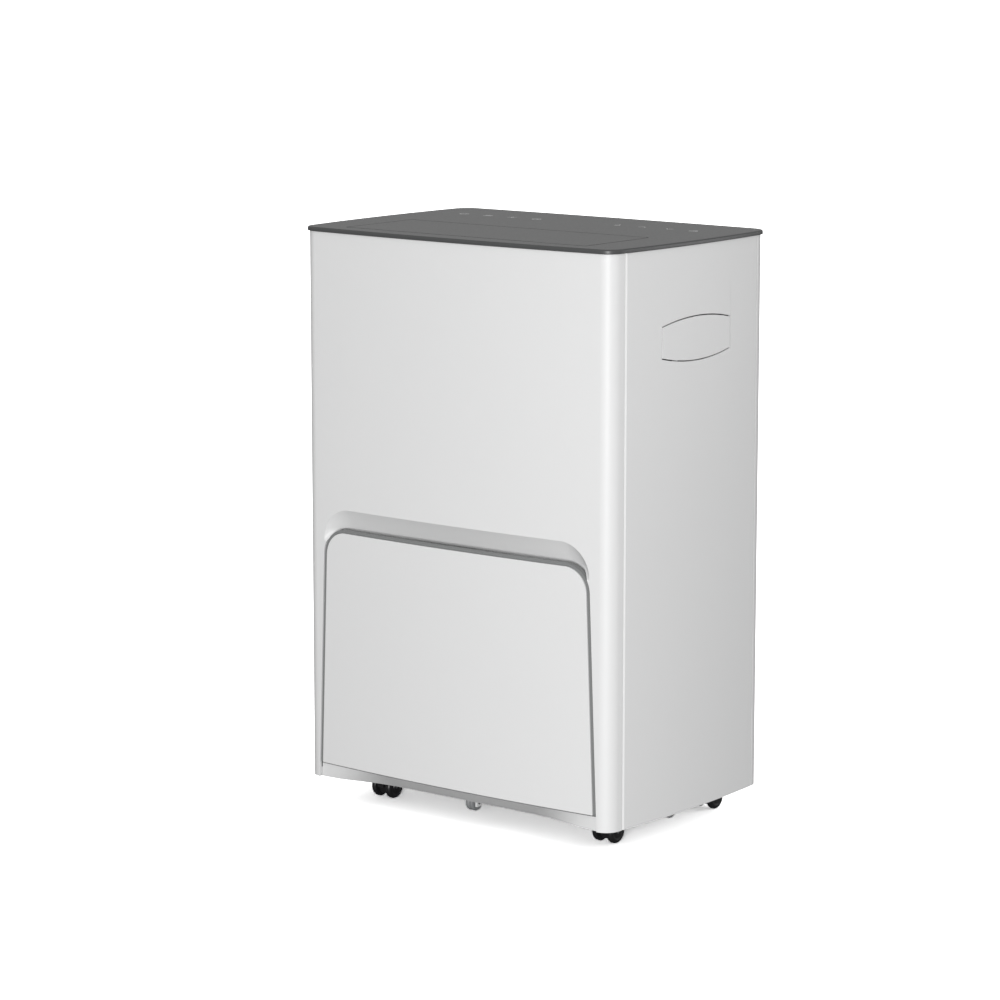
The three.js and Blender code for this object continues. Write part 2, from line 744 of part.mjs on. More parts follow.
// Tray that closes the cabinet below. Its front edge is the sloping toe recess under the tank.
function basePan() {
  const inset = WALL + GAP;
  const toeHalf = FACE_BOTTOM_HALF + BEZEL_RIM;
  const rearOfToe = -BODY_DEPTH / 2 + TOE_DEPTH;
  const floor = prism(cabinetPlan(inset), BASE_Z, BASE_Z + PAN_T);
  const rim = cut(
    prism(cabinetPlan(inset), BASE_Z, BASE_Z + PAN_RIM_H),
    prism(cabinetPlan(inset + PAN_RIM_T), 0, FAR),
  );
  const clearHalf = toeHalf + FACE_GAP;
  const clear = box(-clearHalf, clearHalf, -FAR, rearOfToe + SILL_T - 1, 0, FAR);
  // The sill is a wedge: its lower edge is set back, and less so towards its ends.
  const sillTop = FACE_BOTTOM_Z - SILL_GAP;
  const lowerEdge = (x) => {
    const share = Math.min(1, Math.max(0, (toeHalf - Math.abs(x)) / (toeHalf / 2)));
    const ease = share * share * (3 - 2 * share);
    return frontY(x) + SILL_SETBACK + (TOE_DEPTH - SILL_SETBACK) * ease;
  };
  const sillBack = rearOfToe + SILL_T;
  const steps = 16;
  const sill = loft(
    Array.from({ length: steps + 1 }, (_, i) => {
      const x = -toeHalf + (2 * toeHalf * i) / steps;
      return [
        [x, frontY(x) + SILL_SETBACK, sillTop],
        [x, lowerEdge(x), BASE_Z],
        [x, sillBack, BASE_Z],
        [x, sillBack, sillTop],
      ];
    }),
  );
  let pan = join(cut(join(floor, rim), clear), sill);
  CASTORS.forEach(([, x, y]) => {
    const stemY = y - CASTOR_TRAIL;
    pan = join(pan, rod("z", SOCKET_R, BASE_Z, BASE_Z + STEM_H - 1, [x, stemY], 16));
    pan = cut(pan, rod("z", STEM_R + RUNNING, 0, FAR, [x, stemY], 16));
  });
  SKIDS.forEach(([, x, y]) => {
    const wide = SKID_T / 2 + GAP;
    const well = SKID_R + SKID_CLEAR;
    const [outX, outY] = [wide + SKID_WELL_WALL, well + SKID_WELL_WALL];
    pan = join(pan, box(x - outX, x + outX, y - outY, y + outY, BASE_Z, skidCentreZ + outY));
    pan = cut(pan, box(x - wide, x + wide, y - well, y + well, 0, skidCentreZ + well));
    [-1, 1].forEach((side) => {
      const ear = x + side * (wide + SKID_EAR_T / 2);
      const earX = [ear - SKID_EAR_T / 2, ear + SKID_EAR_T / 2];
      const earY = [y - SKID_EAR_HALF, y + SKID_EAR_HALF];
      pan = join(pan, box(...earX, ...earY, skidCentreZ - SKID_EAR_HALF, BASE_Z + 1));
      pan = cut(pan, rod("x", SKID_PIN_R + RUNNING, earX[0] - 1, earX[1] + 1, [y, skidCentreZ], 12));
    });
  });
  return pan;
}
add("base_pan", basePan(), WHITE);

// Grey roller with its stub axles moulded on, snapped between two ears of the base pan.
SKIDS.forEach(([name, x, y]) => {
  const group = new THREE.Group();
  group.position.set(x, y, skidCentreZ);
  object.add(group);
  const half = SKID_T / 2;
  const pin = half + GAP + SKID_EAR_T;
  const profile = [
    [SKID_R, 1],
    [SKID_R, half - SKID_EDGE],
    [SKID_R - SKID_EDGE, half],
    [SKID_PIN_R, half],
    [SKID_PIN_R, pin],
    [0, pin],
  ];
  add(name, turned(profile, 16), GREY, group);
});

// Castor: a swivelling body with its stem, an axle through it and a wheel on each side.
function castor(name, x, wheelY) {
  const group = new THREE.Group();
  group.position.set(x, wheelY, WHEEL_R);
  object.add(group);
  const top = BASE_Z - WHEEL_R; // the cabinet's underside, measured from the axle
  const headZ = top - CASTOR_HEAD_T;
  const web = join(
    rod("x", WEB_R, -WEB_T / 2, WEB_T / 2, [0, 0], 16),
    box(-WEB_T / 2, WEB_T / 2, -CASTOR_TRAIL - STEM_R, STEM_R, 0, headZ + 1),
  );
  const head = rod("z", CASTOR_HEAD_R, headZ, top - GAP, [0, -CASTOR_TRAIL], 20);
  const stem = rod("z", STEM_R, headZ, top + STEM_H - 2, [0, -CASTOR_TRAIL], 16);
  const axleHole = rod("x", AXLE_R + RUNNING, -FAR, FAR, [0, 0], 12);
  add(`${name}_body`, cut(join(web, head, stem), axleHole), BLACK, group);
  const reach = WHEEL_OFFSET + WHEEL_T / 2;
  add(`${name}_axle`, rod("x", AXLE_R, -reach, reach, [0, 0], 12), STEEL, group);
  // The flats of the many-sided tread lie at the wheel's radius, so that one rests on the floor.
  const tread = WHEEL_R / Math.cos(Math.PI / WHEEL_SIDES);
  const half = WHEEL_T / 2;
  const profile = [
    [tread, half - TREAD_EDGE[1]],
    [tread - TREAD_EDGE[0], half],
    [AXLE_R + RUNNING, half],
  ];
  [
    ["left", -1],
    ["right", 1],
  ].forEach(([side, sign]) => {
    const wheel = turned(profile, WHEEL_SIDES, Math.PI / WHEEL_SIDES);
    add(`${name}_wheel_${side}`, wheel, BLACK, group).position.x = sign * WHEEL_OFFSET;
  });
}
CASTORS.forEach(([name, x, y]) => castor(name, x, y));

// ---- side grips ---------------------------------------------------------------------------------

const gripOuterX = sideReach - sideRadius + Math.sqrt(sideRadius ** 2 - (GRIP_Y - middleY) ** 2);
const flapAxisX = gripOuterX - FLAP_AXIS_IN;
const flapAxisZ = GRIP_Z - GRIP_MID_HALF - FLAP_AXIS_BELOW;

// Grip flap: a barrel-shaped plate with two arms that carry its hinge rod.
function gripFlap(side) {
  const half = side > 0 ? [0, FAR] : [-FAR, 0];
  const plate = ring(0, FLAP_T, 0, FAR * 2).intersect(prism(gripOutline(0), ...half, "x"));
  const x = side * flapAxisX;
  const plateX = side * (gripOuterX - FLAP_T / 2);
  const outline = [
    [x - side * FLAP_ROD_R, flapAxisZ - FLAP_ROD_R],
    [x + side * FLAP_ROD_R, flapAxisZ - FLAP_ROD_R],
    [plateX, GRIP_Z - GRIP_END_HALF],
    [plateX, GRIP_Z - GRIP_END_HALF + 2 * FLAP_ROD_R],
    [x - side * FLAP_ROD_R, flapAxisZ + FLAP_ROD_R],
  ];
  const arms = [-1, 1].map((end) => {
    const y = GRIP_Y + end * FLAP_ARM_Y;
    return prism(outline, y - FLAP_ARM_T / 2, y + FLAP_ARM_T / 2, "y");
  });
  const rodEnd = POCKET_HALF_Y - POCKET_WALL / 2;
  const hinge = rod("y", FLAP_ROD_R, GRIP_Y - rodEnd, GRIP_Y + rodEnd, [x, flapAxisZ], 12);
  return join(plate, ...arms, hinge);
}

// Grip pocket: a cup behind the flap, whose end walls carry the flap's hinge rod.
function gripPocket(side) {
  const bottom = GRIP_Z - GRIP_MID_HALF - POCKET_BELOW;
  const top = GRIP_Z + GRIP_MID_HALF + POCKET_ABOVE;
  const inner = gripOuterX - POCKET_DEPTH;
  const outer = prism(cabinetPlan(WALL + GAP), bottom, top);
  const slab = (reach, y, low, high) =>
    side > 0
      ? box(reach, FAR, GRIP_Y - y, GRIP_Y + y, low, high)
      : box(-FAR, -reach, GRIP_Y - y, GRIP_Y + y, low, high);
  const cup = cut(
    outer.intersect(slab(inner, POCKET_HALF_Y, bottom, top)),
    slab(
      inner + POCKET_WALL,
      POCKET_HALF_Y - POCKET_WALL,
      bottom + POCKET_WALL,
      top - POCKET_WALL,
    ),
  );
  return cut(cup, rod("y", FLAP_ROD_R + RUNNING, -FAR, FAR, [side * flapAxisX, flapAxisZ], 12));
}
[
  ["left", -1],
  ["right", 1],
].forEach(([name, side]) => {
  add(`grip_flap_${name}`, gripFlap(side), WHITE);
  add(`grip_pocket_${name}`, gripPocket(side), GREY);
});

// ---- water tank ---------------------------------------------------------------------------------

// The tank's white face and the grey bezel both follow the front's bow. The bezel is a plate
// behind the face, with a lip that stands round its sides and its top.
const tankSlice = (outer, inner, outline) =>
  ring(outer, inner, 0, FAR).intersect(prism(outline, -FAR, FRONT_CORNER_Y + 12, "y"));
add("tank_face", tankSlice(0, FACE_T, faceOutline(0)), WHITE);
function tankBezel() {
  const outline = faceOutline(BEZEL_RIM, FACE_BOTTOM_Z);
  const seat = FACE_T + GAP;
  const plate = tankSlice(seat, seat + BEZEL_T, outline);
  const around = prism(faceOutline(GAP, FACE_BOTTOM_Z - 1, FACE_TOP_Z + GAP), -FAR, 0, "y");
  const lip = cut(tankSlice(BEZEL_SETBACK, seat + 1, outline), around);
  return join(plate, lip);
}
add("tank_bezel", tankBezel(), GREY);

const bucketInset = FACE_T + BEZEL_T + 2 * GAP;
const bucketFrontY = frontY(BUCKET_HALF, bucketInset);
const bucketPlan = (inset, z0, z1) =>
  box(
    -BUCKET_HALF + inset,
    BUCKET_HALF - inset,
    bucketFrontY + inset,
    BUCKET_REAR_Y - inset,
    z0,
    z1,
  );

// Bucket: an open-topped box. Its flat front wall meets the bowed bezel at its two side edges.
function tankBucket() {
  const outer = bucketPlan(0, BUCKET_BOTTOM_Z, BUCKET_TOP_Z);
  const inner = bucketPlan(BUCKET_WALL, BUCKET_BOTTOM_Z + BUCKET_WALL, BUCKET_TOP_Z + 1);
  return cut(outer, inner);
}
add("tank_bucket", tankBucket(), SMOKE);

// Lid with the water inlet, the pouring corner, the float's ears and the handle's bosses.
const LID_Z = BUCKET_TOP_Z + GAP;
const LID_TOP_Z = LID_Z + LID_T;
const FLOAT_AXIS_Z = BUCKET_TOP_Z - FLOAT_AXIS_BELOW;
const HANDLE_AXIS_Z = LID_TOP_Z + HANDLE_AXIS_ABOVE;
function tankLid() {
  const plate = prism(cabinetPlan(bucketInset), LID_Z, LID_TOP_Z).intersect(
    box(-BUCKET_HALF, BUCKET_HALF, -FAR, BUCKET_REAR_Y, 0, FAR),
  );
  const inset = BUCKET_WALL + GAP;
  const locating = cut(
    bucketPlan(inset, LID_Z - LID_RIB_DEPTH, LID_Z + 1),
    bucketPlan(inset + LID_RIB_T, 0, FAR),
  );
  const inlet = box(-INLET_HALF, INLET_HALF, ...INLET_Y, 0, FAR);
  const pour = rod("z", POUR_R, 0, FAR, POUR, 16);
  const earHole = rod("x", FLOAT_PIN_R + RUNNING, 0, FAR, [FLOAT_AXIS_Y, FLOAT_AXIS_Z], 12);
  const ears = [-1, 1].map((side) => {
    const x = FLOAT_X + side * (FLOAT_ARM_HALF + GAP + FLOAT_EAR_T / 2);
    const ear = box(
      x - FLOAT_EAR_T / 2,
      x + FLOAT_EAR_T / 2,
      FLOAT_AXIS_Y - FLOAT_EAR_HALF,
      FLOAT_AXIS_Y + FLOAT_EAR_HALF,
      FLOAT_AXIS_Z - FLOAT_EAR_HALF,
      LID_Z + 1,
    );
    return cut(ear, earHole);
  });
  const bosses = [-1, 1].map((side) => {
    const x = side * HANDLE_X;
    return box(
      x - BOSS_T / 2,
      x + BOSS_T / 2,
      HANDLE_AXIS_Y - BOSS_HALF,
      HANDLE_AXIS_Y + BOSS_HALF,
      LID_TOP_Z - 1,
      HANDLE_AXIS_Z + BOSS_HALF - 1,
    );
  });
  const bossHole = rod("x", HANDLE_PIN_R + RUNNING, -FAR, FAR, [HANDLE_AXIS_Y, HANDLE_AXIS_Z], 12);
  return cut(join(plate, locating, ...ears, ...bosses), inlet, pour, bossHole);
}
add("tank_lid", tankLid(), GREY);

// Float: a foam block on a hinged arm under the lid. It rises as the bucket fills.
function tankFloat() {
  const axis = [FLOAT_AXIS_Y, FLOAT_AXIS_Z];
  const armX = [FLOAT_X - FLOAT_ARM_HALF, FLOAT_X + FLOAT_ARM_HALF];
  const barrel = rod("x", FLOAT_BARREL_R, ...armX, axis, 12);
  const past = GAP + FLOAT_EAR_T;
  const pins = rod("x", FLOAT_PIN_R, armX[0] - past, armX[1] + past, axis, 12);
  const [wide, deep, high] = FLOAT_BLOCK;
  const armHalf = wide * 0.15;
  const slope = high / 2;
  const tip = FLOAT_AXIS_Y - FLOAT_ARM_REACH;
  const root = FLOAT_BARREL_R - 1;
  const arm = prism(
    [
      [FLOAT_AXIS_Y, FLOAT_AXIS_Z - root],
      [FLOAT_AXIS_Y, FLOAT_AXIS_Z + root],
      [tip, FLOAT_AXIS_Z - slope - 1],
      [tip, FLOAT_AXIS_Z - slope - 1 - 2 * root],
    ],
    FLOAT_X - armHalf,
    FLOAT_X + armHalf,
    "x",
  );
  const rear = tip + root * 2;
  const block = box(
    FLOAT_X - wide / 2,
    FLOAT_X + wide / 2,
    rear - deep,
    rear,
    FLOAT_AXIS_Z - slope - 1 - high,
    FLOAT_AXIS_Z - slope - 1,
  );
  return join(barrel, pins, arm, block);
}
add("tank_float", tankFloat(), FOAM);

// Carrying handle: a bail that lies on the lid and swings up once the tank is out.
function tankHandle() {
  const half = HANDLE_SECTION / 2;
  const axis = [HANDLE_AXIS_Y, HANDLE_AXIS_Z];
  const outerX = HANDLE_X - BOSS_T / 2 - GAP;
  const innerX = outerX - HANDLE_SECTION;
  const heights = [HANDLE_AXIS_Z - half, HANDLE_AXIS_Z + half];
  const tip = HANDLE_AXIS_Y - HANDLE_REACH;
  const sides = [-1, 1].flatMap((side) => {
    const armX = [side * innerX, side * outerX].sort((a, b) => a - b);
    const pinX = [side * (innerX + 1), side * (HANDLE_X + BOSS_T / 2)].sort((a, b) => a - b);
    return [
      box(...armX, tip, HANDLE_AXIS_Y, ...heights),
      rod("x", half, ...armX, axis, 12),
      rod("x", HANDLE_PIN_R, ...pinX, axis, 12),
    ];
  });
  return join(...sides, box(-outerX, outerX, tip, tip + HANDLE_GRIP, ...heights));
}
add("tank_handle", tankHandle(), CHARCOAL);

// Bay that the tank slides into: a box open at the front, with the drip hole in its ceiling and
// a flange that closes the space between its mouth and the front housing.
const FLANGE_HALF = BODY_W / 2 - WALL - 4;
const DRIP_X = 12;
const DRIP_Y = [-40, -20];
const BAY_FRONT_Y = SCOOP_BACK_Y + SCOOP_WALL + GAP;
const BAY_HALF = BUCKET_HALF + BAY_CLEAR;
const BAY_REAR_Y = BUCKET_REAR_Y + BAY_CLEAR;
const BAY_FLOOR_Z = BUCKET_BOTTOM_Z - GAP;
function tankBay() {
  const outer = box(
    -BAY_HALF - BAY_WALL,
    BAY_HALF + BAY_WALL,
    BAY_FRONT_Y,
    BAY_REAR_Y + BAY_WALL,
    BAY_FLOOR_Z - BAY_WALL,
    BAY_TOP_Z + BAY_WALL,
  );
  const flange = box(
    -FLANGE_HALF,
    FLANGE_HALF,
    BAY_FRONT_Y,
    BAY_FRONT_Y + BAY_WALL,
    BAY_FLOOR_Z - BAY_WALL,
    BAY_TOP_Z + FLANGE_ABOVE,
  );
  const inner = box(-BAY_HALF, BAY_HALF, -FAR, BAY_REAR_Y, BAY_FLOOR_Z, BAY_TOP_Z);
  const drip = box(-DRIP_X, DRIP_X, ...DRIP_Y, BAY_TOP_Z - 1, FAR);
  return cut(join(outer, flange), inner, drip);
}
add("tank_bay", tankBay(), GREY);

// ---- air path -----------------------------------------------------------------------------------

// Intake cassette: a slotted cover flush with the rear wall.
function intakeGrille() {
  const rect = [
    [-INTAKE_HALF, INTAKE_BOTTOM_Z],
    [INTAKE_HALF, INTAKE_BOTTOM_Z],
    [INTAKE_HALF, INTAKE_TOP_Z],
    [-INTAKE_HALF, INTAKE_TOP_Z],
  ];
  let cover = ring(0, WALL, 0, FAR * 2).intersect(prism(rect, REAR_SEAM_Y, FAR, "y"));
  const [sideEdge, endEdge] = INTAKE_EDGE;
  const pitch = (INTAKE_TOP_Z - INTAKE_BOTTOM_Z - 2 * endEdge) / SLOT_ROWS;
  const columnPitch = (2 * INTAKE_HALF - 2 * sideEdge) / SLOT_COLUMNS;
  const half = (columnPitch - SLOT_SPACE) / 2;
  for (let row = 0; row < SLOT_ROWS; row++) {
    const z = INTAKE_BOTTOM_Z + endEdge + pitch * (row + 0.5);
    for (let column = 0; column < SLOT_COLUMNS; column++) {
      const x = -INTAKE_HALF + sideEdge + columnPitch * (column + 0.5);
      cover = cut(cover, box(x - half, x + half, 0, FAR, z - SLOT_H / 2, z + SLOT_H / 2));
    }
  }
  return cover;
}
add("intake_grille", intakeGrille(), WHITE);

// Filter: a frame with ribs behind the grille, and the mesh inside it.
const FILTER_REAR_Y = BODY_DEPTH / 2 - REAR_BOW - WALL - GAP;
const FILTER_FRONT_Y = FILTER_REAR_Y - FILTER_T;
const FILTER_HALF = INTAKE_HALF - FILTER_INSET;
const FILTER_Z = [INTAKE_BOTTOM_Z + FILTER_INSET, INTAKE_TOP_Z - FILTER_INSET];
function filterFrame() {
  const plate = box(-FILTER_HALF, FILTER_HALF, FILTER_FRONT_Y, FILTER_REAR_Y, ...FILTER_Z);
  const insideX = FILTER_HALF - FILTER_RIM;
  const insideZ = [FILTER_Z[0] + FILTER_RIM, FILTER_Z[1] - FILTER_RIM];
  const rib = box(
    -insideX - 1,
    insideX + 1,
    FILTER_REAR_Y - MESH_T,
    FILTER_REAR_Y,
    (insideZ[0] + insideZ[1]) / 2 - 2,
    (insideZ[0] + insideZ[1]) / 2 + 2,
  );
  return join(cut(plate, box(-insideX, insideX, -FAR, FAR, ...insideZ)), rib);
}
add("filter_frame", filterFrame(), BLACK);
const meshHalf = FILTER_HALF - FILTER_RIM - GAP;
const meshZ = [FILTER_Z[0] + FILTER_RIM + GAP, FILTER_Z[1] - FILTER_RIM - GAP];
add(
  "filter_mesh",
  box(-meshHalf, meshHalf, FILTER_FRONT_Y, FILTER_FRONT_Y + MESH_T, ...meshZ),
  BLACK,
);

// Finned coils: a fin block between two end plates, with return bends at one end.
function coil(y) {
  const block = box(
    -COIL_HALF,
    COIL_HALF,
    y - COIL_T / 2,
    y + COIL_T / 2,
    COIL_BOTTOM_Z,
    COIL_TOP_Z,
  );
  const pitch = (COIL_TOP_Z - COIL_BOTTOM_Z) / COIL_ROWS;
  const bends = Array.from({ length: COIL_ROWS }, (_, i) => {
    const z = COIL_BOTTOM_Z + pitch * (i + 0.5);
    const [root, shoulder, out] = [COIL_HALF - 1, COIL_HALF + 6, COIL_HALF + BEND_REACH];
    const path = [
      [root, y, z - BEND_REACH],
      [shoulder, y, z - BEND_REACH + 1],
      [out, y, z],
      [shoulder, y, z + BEND_REACH - 1],
      [root, y, z + BEND_REACH],
    ];
    return pipe(path, TUBE_R, 6);
  });
  return join(block, ...bends);
}
add("evaporator_coil", coil(EVAPORATOR_Y), FINS);
add("condenser_coil", coil(CONDENSER_Y), FINS);

// Drip tray under the coils. Its channel leads forward to the hole over the tank.
const TRAY_Z = BAY_TOP_Z + BAY_WALL + GAP;
const TRAY_TOP_Z = COIL_BOTTOM_Z - GAP;
const TRAY_FLOOR_Z = TRAY_Z + TRAY_FLOOR_T;
const TRAY_FRONT_Y = CONDENSER_Y - COIL_T / 2 - TRAY_MARGIN;
const TRAY_REAR_Y = EVAPORATOR_Y + COIL_T / 2 + TRAY_MARGIN;
const DRAIN = [DRAIN_X, DRAIN_Z];
const NOZZLE_END_Y = BODY_DEPTH / 2 - 6;
function dripTray() {
  const half = COIL_HALF + TRAY_MARGIN + BEND_REACH;
  const inside = half - TRAY_WALL;
  const trough = cut(
    box(-half, half, TRAY_FRONT_Y, TRAY_REAR_Y, TRAY_Z, TRAY_TOP_Z),
    box(-inside, inside, TRAY_FRONT_Y + TRAY_WALL, TRAY_REAR_Y - TRAY_WALL, TRAY_FLOOR_Z, FAR),
  );
  const bed = DRIP_X - TRAY_WALL;
  const dripFront = DRIP_Y[0] + TRAY_WALL;
  const channelRear = TRAY_FRONT_Y + TRAY_WALL;
  const channelTop = TRAY_Z + CHANNEL_H;
  const channel = cut(
    box(-DRIP_X, DRIP_X, DRIP_Y[0], channelRear, TRAY_Z, channelTop),
    box(-bed, bed, dripFront, channelRear + 1, TRAY_FLOOR_Z - 1, FAR),
    box(-bed, bed, dripFront, DRIP_Y[1] - TRAY_WALL, 0, FAR),
  );
  const notch = box(-bed, bed, TRAY_FRONT_Y - 1, channelRear + 1, TRAY_FLOOR_Z, channelTop);
  const nozzle = rod("y", NOZZLE_R, TRAY_REAR_Y - 1, NOZZLE_END_Y, DRAIN, 16);
  const bore = rod("y", NOZZLE_BORE_R, TRAY_REAR_Y - 2 * TRAY_WALL, FAR, DRAIN, 16);
  return cut(join(trough, channel, nozzle), notch, bore);
}
add("drip_tray", dripTray(), GREY);

// Rubber plug in the continuous-drain nozzle, with a pull collar outside the rear wall.
add(
  "drain_plug",
  join(
    rod("y", NOZZLE_BORE_R - 0.5, NOZZLE_END_Y - 8, NOZZLE_END_Y + 3, DRAIN, 16),
    rod("y", NOZZLE_R + 0.5, NOZZLE_END_Y + GAP, NOZZLE_END_Y + 6, DRAIN, 16),
  ),
  BLACK,
);

// Blower casing: a scroll that opens upwards under the outlet, with its inlet at the back.
const BLOWER_FRONT_Y = BLOWER_REAR_Y - BLOWER_W;
const SCROLL_FRONT_Y = BLOWER_FRONT_Y - SIDE_CLEAR;
const SCROLL_REAR_Y = BLOWER_REAR_Y + SIDE_CLEAR;
const SCROLL_TOP_Z = TOP_Z - COLLAR_DEPTH - GAP;
function fanScroll() {
  const outline = (inset) => {
    const radius = SCROLL_R - inset;
    return [
      ...arcPoints([0, BLOWER_Z], radius, Math.PI, 2 * Math.PI, 14),
      [radius, SCROLL_TOP_Z + (inset ? 1 : 0)],
      [-radius, SCROLL_TOP_Z + (inset ? 1 : 0)],
    ];
  };
  const outer = prism(outline(0), SCROLL_FRONT_Y, SCROLL_REAR_Y, "y");
  const inner = prism(
    outline(SCROLL_WALL),
    SCROLL_FRONT_Y + SCROLL_WALL,
    SCROLL_REAR_Y - SCROLL_WALL,
    "y",
  );
  const inletR = BLOWER_R - RING_W - 2;
  const inlet = rod("y", inletR, SCROLL_REAR_Y - 2 * SCROLL_WALL, FAR, [0, BLOWER_Z], 28);
  const shaftHole = rod("y", HUB_R, -FAR, SCROLL_FRONT_Y + 2 * SCROLL_WALL, [0, BLOWER_Z], 16);
  return cut(outer, inner, inlet, shaftHole);
}
add("fan_scroll", fanScroll(), BLACK);

// Blower wheel: a back plate and hub, curved blades and a front ring.
function blowerWheel() {
  const centre = [0, BLOWER_Z];
  const plate = rod("y", BLOWER_R, BLOWER_FRONT_Y, BLOWER_FRONT_Y + 2, centre, 36);
  const hub = rod("y", HUB_R, BLOWER_FRONT_Y, BLOWER_FRONT_Y + HUB_L, centre, 16);
  const hoop = cut(
    rod("y", BLOWER_R, BLOWER_REAR_Y - 3, BLOWER_REAR_Y, centre, 36),
    rod("y", BLOWER_R - RING_W, -FAR, FAR, centre, 36),
  );
  // One blade's section: radius and turn of each corner, out along one side and back.
  const [root, middle, tip] = [BLOWER_R - RING_W + 1, BLOWER_R - RING_W / 2, BLOWER_R - 1];
  const section = [
    [root, 0],
    [middle + 1, 0.015],
    [tip, 0.06],
    [tip, 0.08],
    [middle, 0.038],
    [root, 0.022],
  ];
  const blades = Array.from({ length: BLOWER_BLADES }, (_, i) => {
    const angle = (2 * Math.PI * i) / BLOWER_BLADES;
    const outline = section.map(([r, turn]) => [
      r * Math.cos(angle + turn),
      BLOWER_Z + r * Math.sin(angle + turn),
    ]);
    return prism(outline, BLOWER_FRONT_Y + 1, BLOWER_REAR_Y - 1, "y");
  });
  return cut(
    join(plate, hub, hoop, ...blades),
    rod("y", SHAFT_R + RUNNING, -FAR, FAR, centre, 16),
  );
}
add("blower_wheel", blowerWheel(), BLACK);

// Fan motor in front of the scroll, with its shaft in the wheel's hub.
const MOTOR_FRONT_Y = FRONT_CORNER_Y + 8;
add(
  "fan_motor",
  join(
    rod("y", MOTOR_R, MOTOR_FRONT_Y, SCROLL_FRONT_Y - GAP, [0, BLOWER_Z], 24),
    rod("y", SHAFT_R, SCROLL_FRONT_Y - 1, BLOWER_FRONT_Y + HUB_L - 2, [0, BLOWER_Z], 16),
  ),
  STEEL,
);

// ---- refrigeration and electrics behind the bay ---------------------------------------------------

const PAN_FLOOR_Z = BASE_Z + PAN_T + GAP;
const FOOT_Z = PAN_FLOOR_Z + MOUNT_PAD_T;
const footBox = (inset, z0, z1) => {
  const [x, y] = [FOOT_HALF[0] - inset, FOOT_HALF[1] - inset];
  return box(COMPRESSOR[0] - x, COMPRESSOR[0] + x, COMPRESSOR[1] - y, COMPRESSOR[1] + y, z0, z1);
};
const [domeR, domeH] = COMPRESSOR_DOME;
add(
  "compressor",
  join(
    rod("z", COMPRESSOR_R, FOOT_Z + FOOT_T - 0.5, COMPRESSOR_TOP_Z, COMPRESSOR, 28),
    rod("z", domeR, COMPRESSOR_TOP_Z - 1, COMPRESSOR_TOP_Z + domeH, COMPRESSOR, 20),
    footBox(0, FOOT_Z, FOOT_Z + FOOT_T),
  ),
  ENAMEL,
);
add("compressor_mount", footBox(MOUNT_INSET, PAN_FLOOR_Z, FOOT_Z - GAP), BLACK);
add(
  "suction_accumulator",
  rod("z", ACCUMULATOR_R, ...ACCUMULATOR_Z, ACCUMULATOR, 18),
  ENAMEL,
);

// Copper lines between the compressor, the coils and the accumulator.
add(
  "discharge_pipe",
  pipe(
    [
      [COMPRESSOR[0], COMPRESSOR[1], COMPRESSOR_TOP_Z + domeH + GAP],
      [COMPRESSOR[0], COMPRESSOR[1], 275],
      [-120, 60, 288],
      [-175, 60, 310],
      [-175, CONDENSER_Y, 370],
      [-160, CONDENSER_Y, 440],
      [-COIL_HALF - PIPE_GAP, CONDENSER_Y, 450],
    ],
    DISCHARGE_R,
    24,
  ),
  COPPER,
);
add(
  "suction_pipe",
  pipe(
    [
      [0, ACCUMULATOR[1], ACCUMULATOR_Z[1] + GAP],
      [2, ACCUMULATOR[1], 270],
      [60, 45, 290],
      [176, 60, 310],
      [177, 92, 360],
      [172, EVAPORATOR_Y, 460],
      [166, EVAPORATOR_Y, 520],
      [COIL_HALF + 16, EVAPORATOR_Y, 530],
    ],
    SUCTION_R,
    30,
  ),
  COPPER,
);
add(
  "capillary_tube",
  pipe(
    [
      [-COIL_HALF - PIPE_GAP, CONDENSER_Y, 540],
      [-154, CONDENSER_Y + 4, 542],
      [-158, 91, 500],
      [-158, 96, 420],
      [-154, EVAPORATOR_Y, 394],
      [-COIL_HALF - PIPE_GAP, EVAPORATOR_Y, 384],
    ],
    CAPILLARY_R,
    24,
  ),
  COPPER,
);

// Electronics box with the run capacitor beside it.
add(
  "electronics_box",
  box(...ELECTRONICS.x, ...ELECTRONICS.y, ...ELECTRONICS.z),
  WHITE,
);
add("run_capacitor", rod("z", CAPACITOR_R, ...CAPACITOR_Z, CAPACITOR, 18), STEEL);

// Cord gland in the rear wall.
const GLAND_COLLAR_R = CORD_HOLE_R + GLAND_RIM;
const glandSeatY = rearY(CORD_X - GLAND_COLLAR_R) + GAP;
add(
  "cord_gland",
  cut(
    join(
      rod("y", CORD_HOLE_R - GAP, glandSeatY - 10, glandSeatY + 2, [CORD_X, CORD_Z], 16),
      rod("y", GLAND_COLLAR_R, glandSeatY, glandSeatY + 2.6, [CORD_X, CORD_Z], 16),
    ),
    rod("y", CORD_BORE_R, 0, FAR, [CORD_X, CORD_Z], 12),
  ),
  BLACK,
);

export default object;
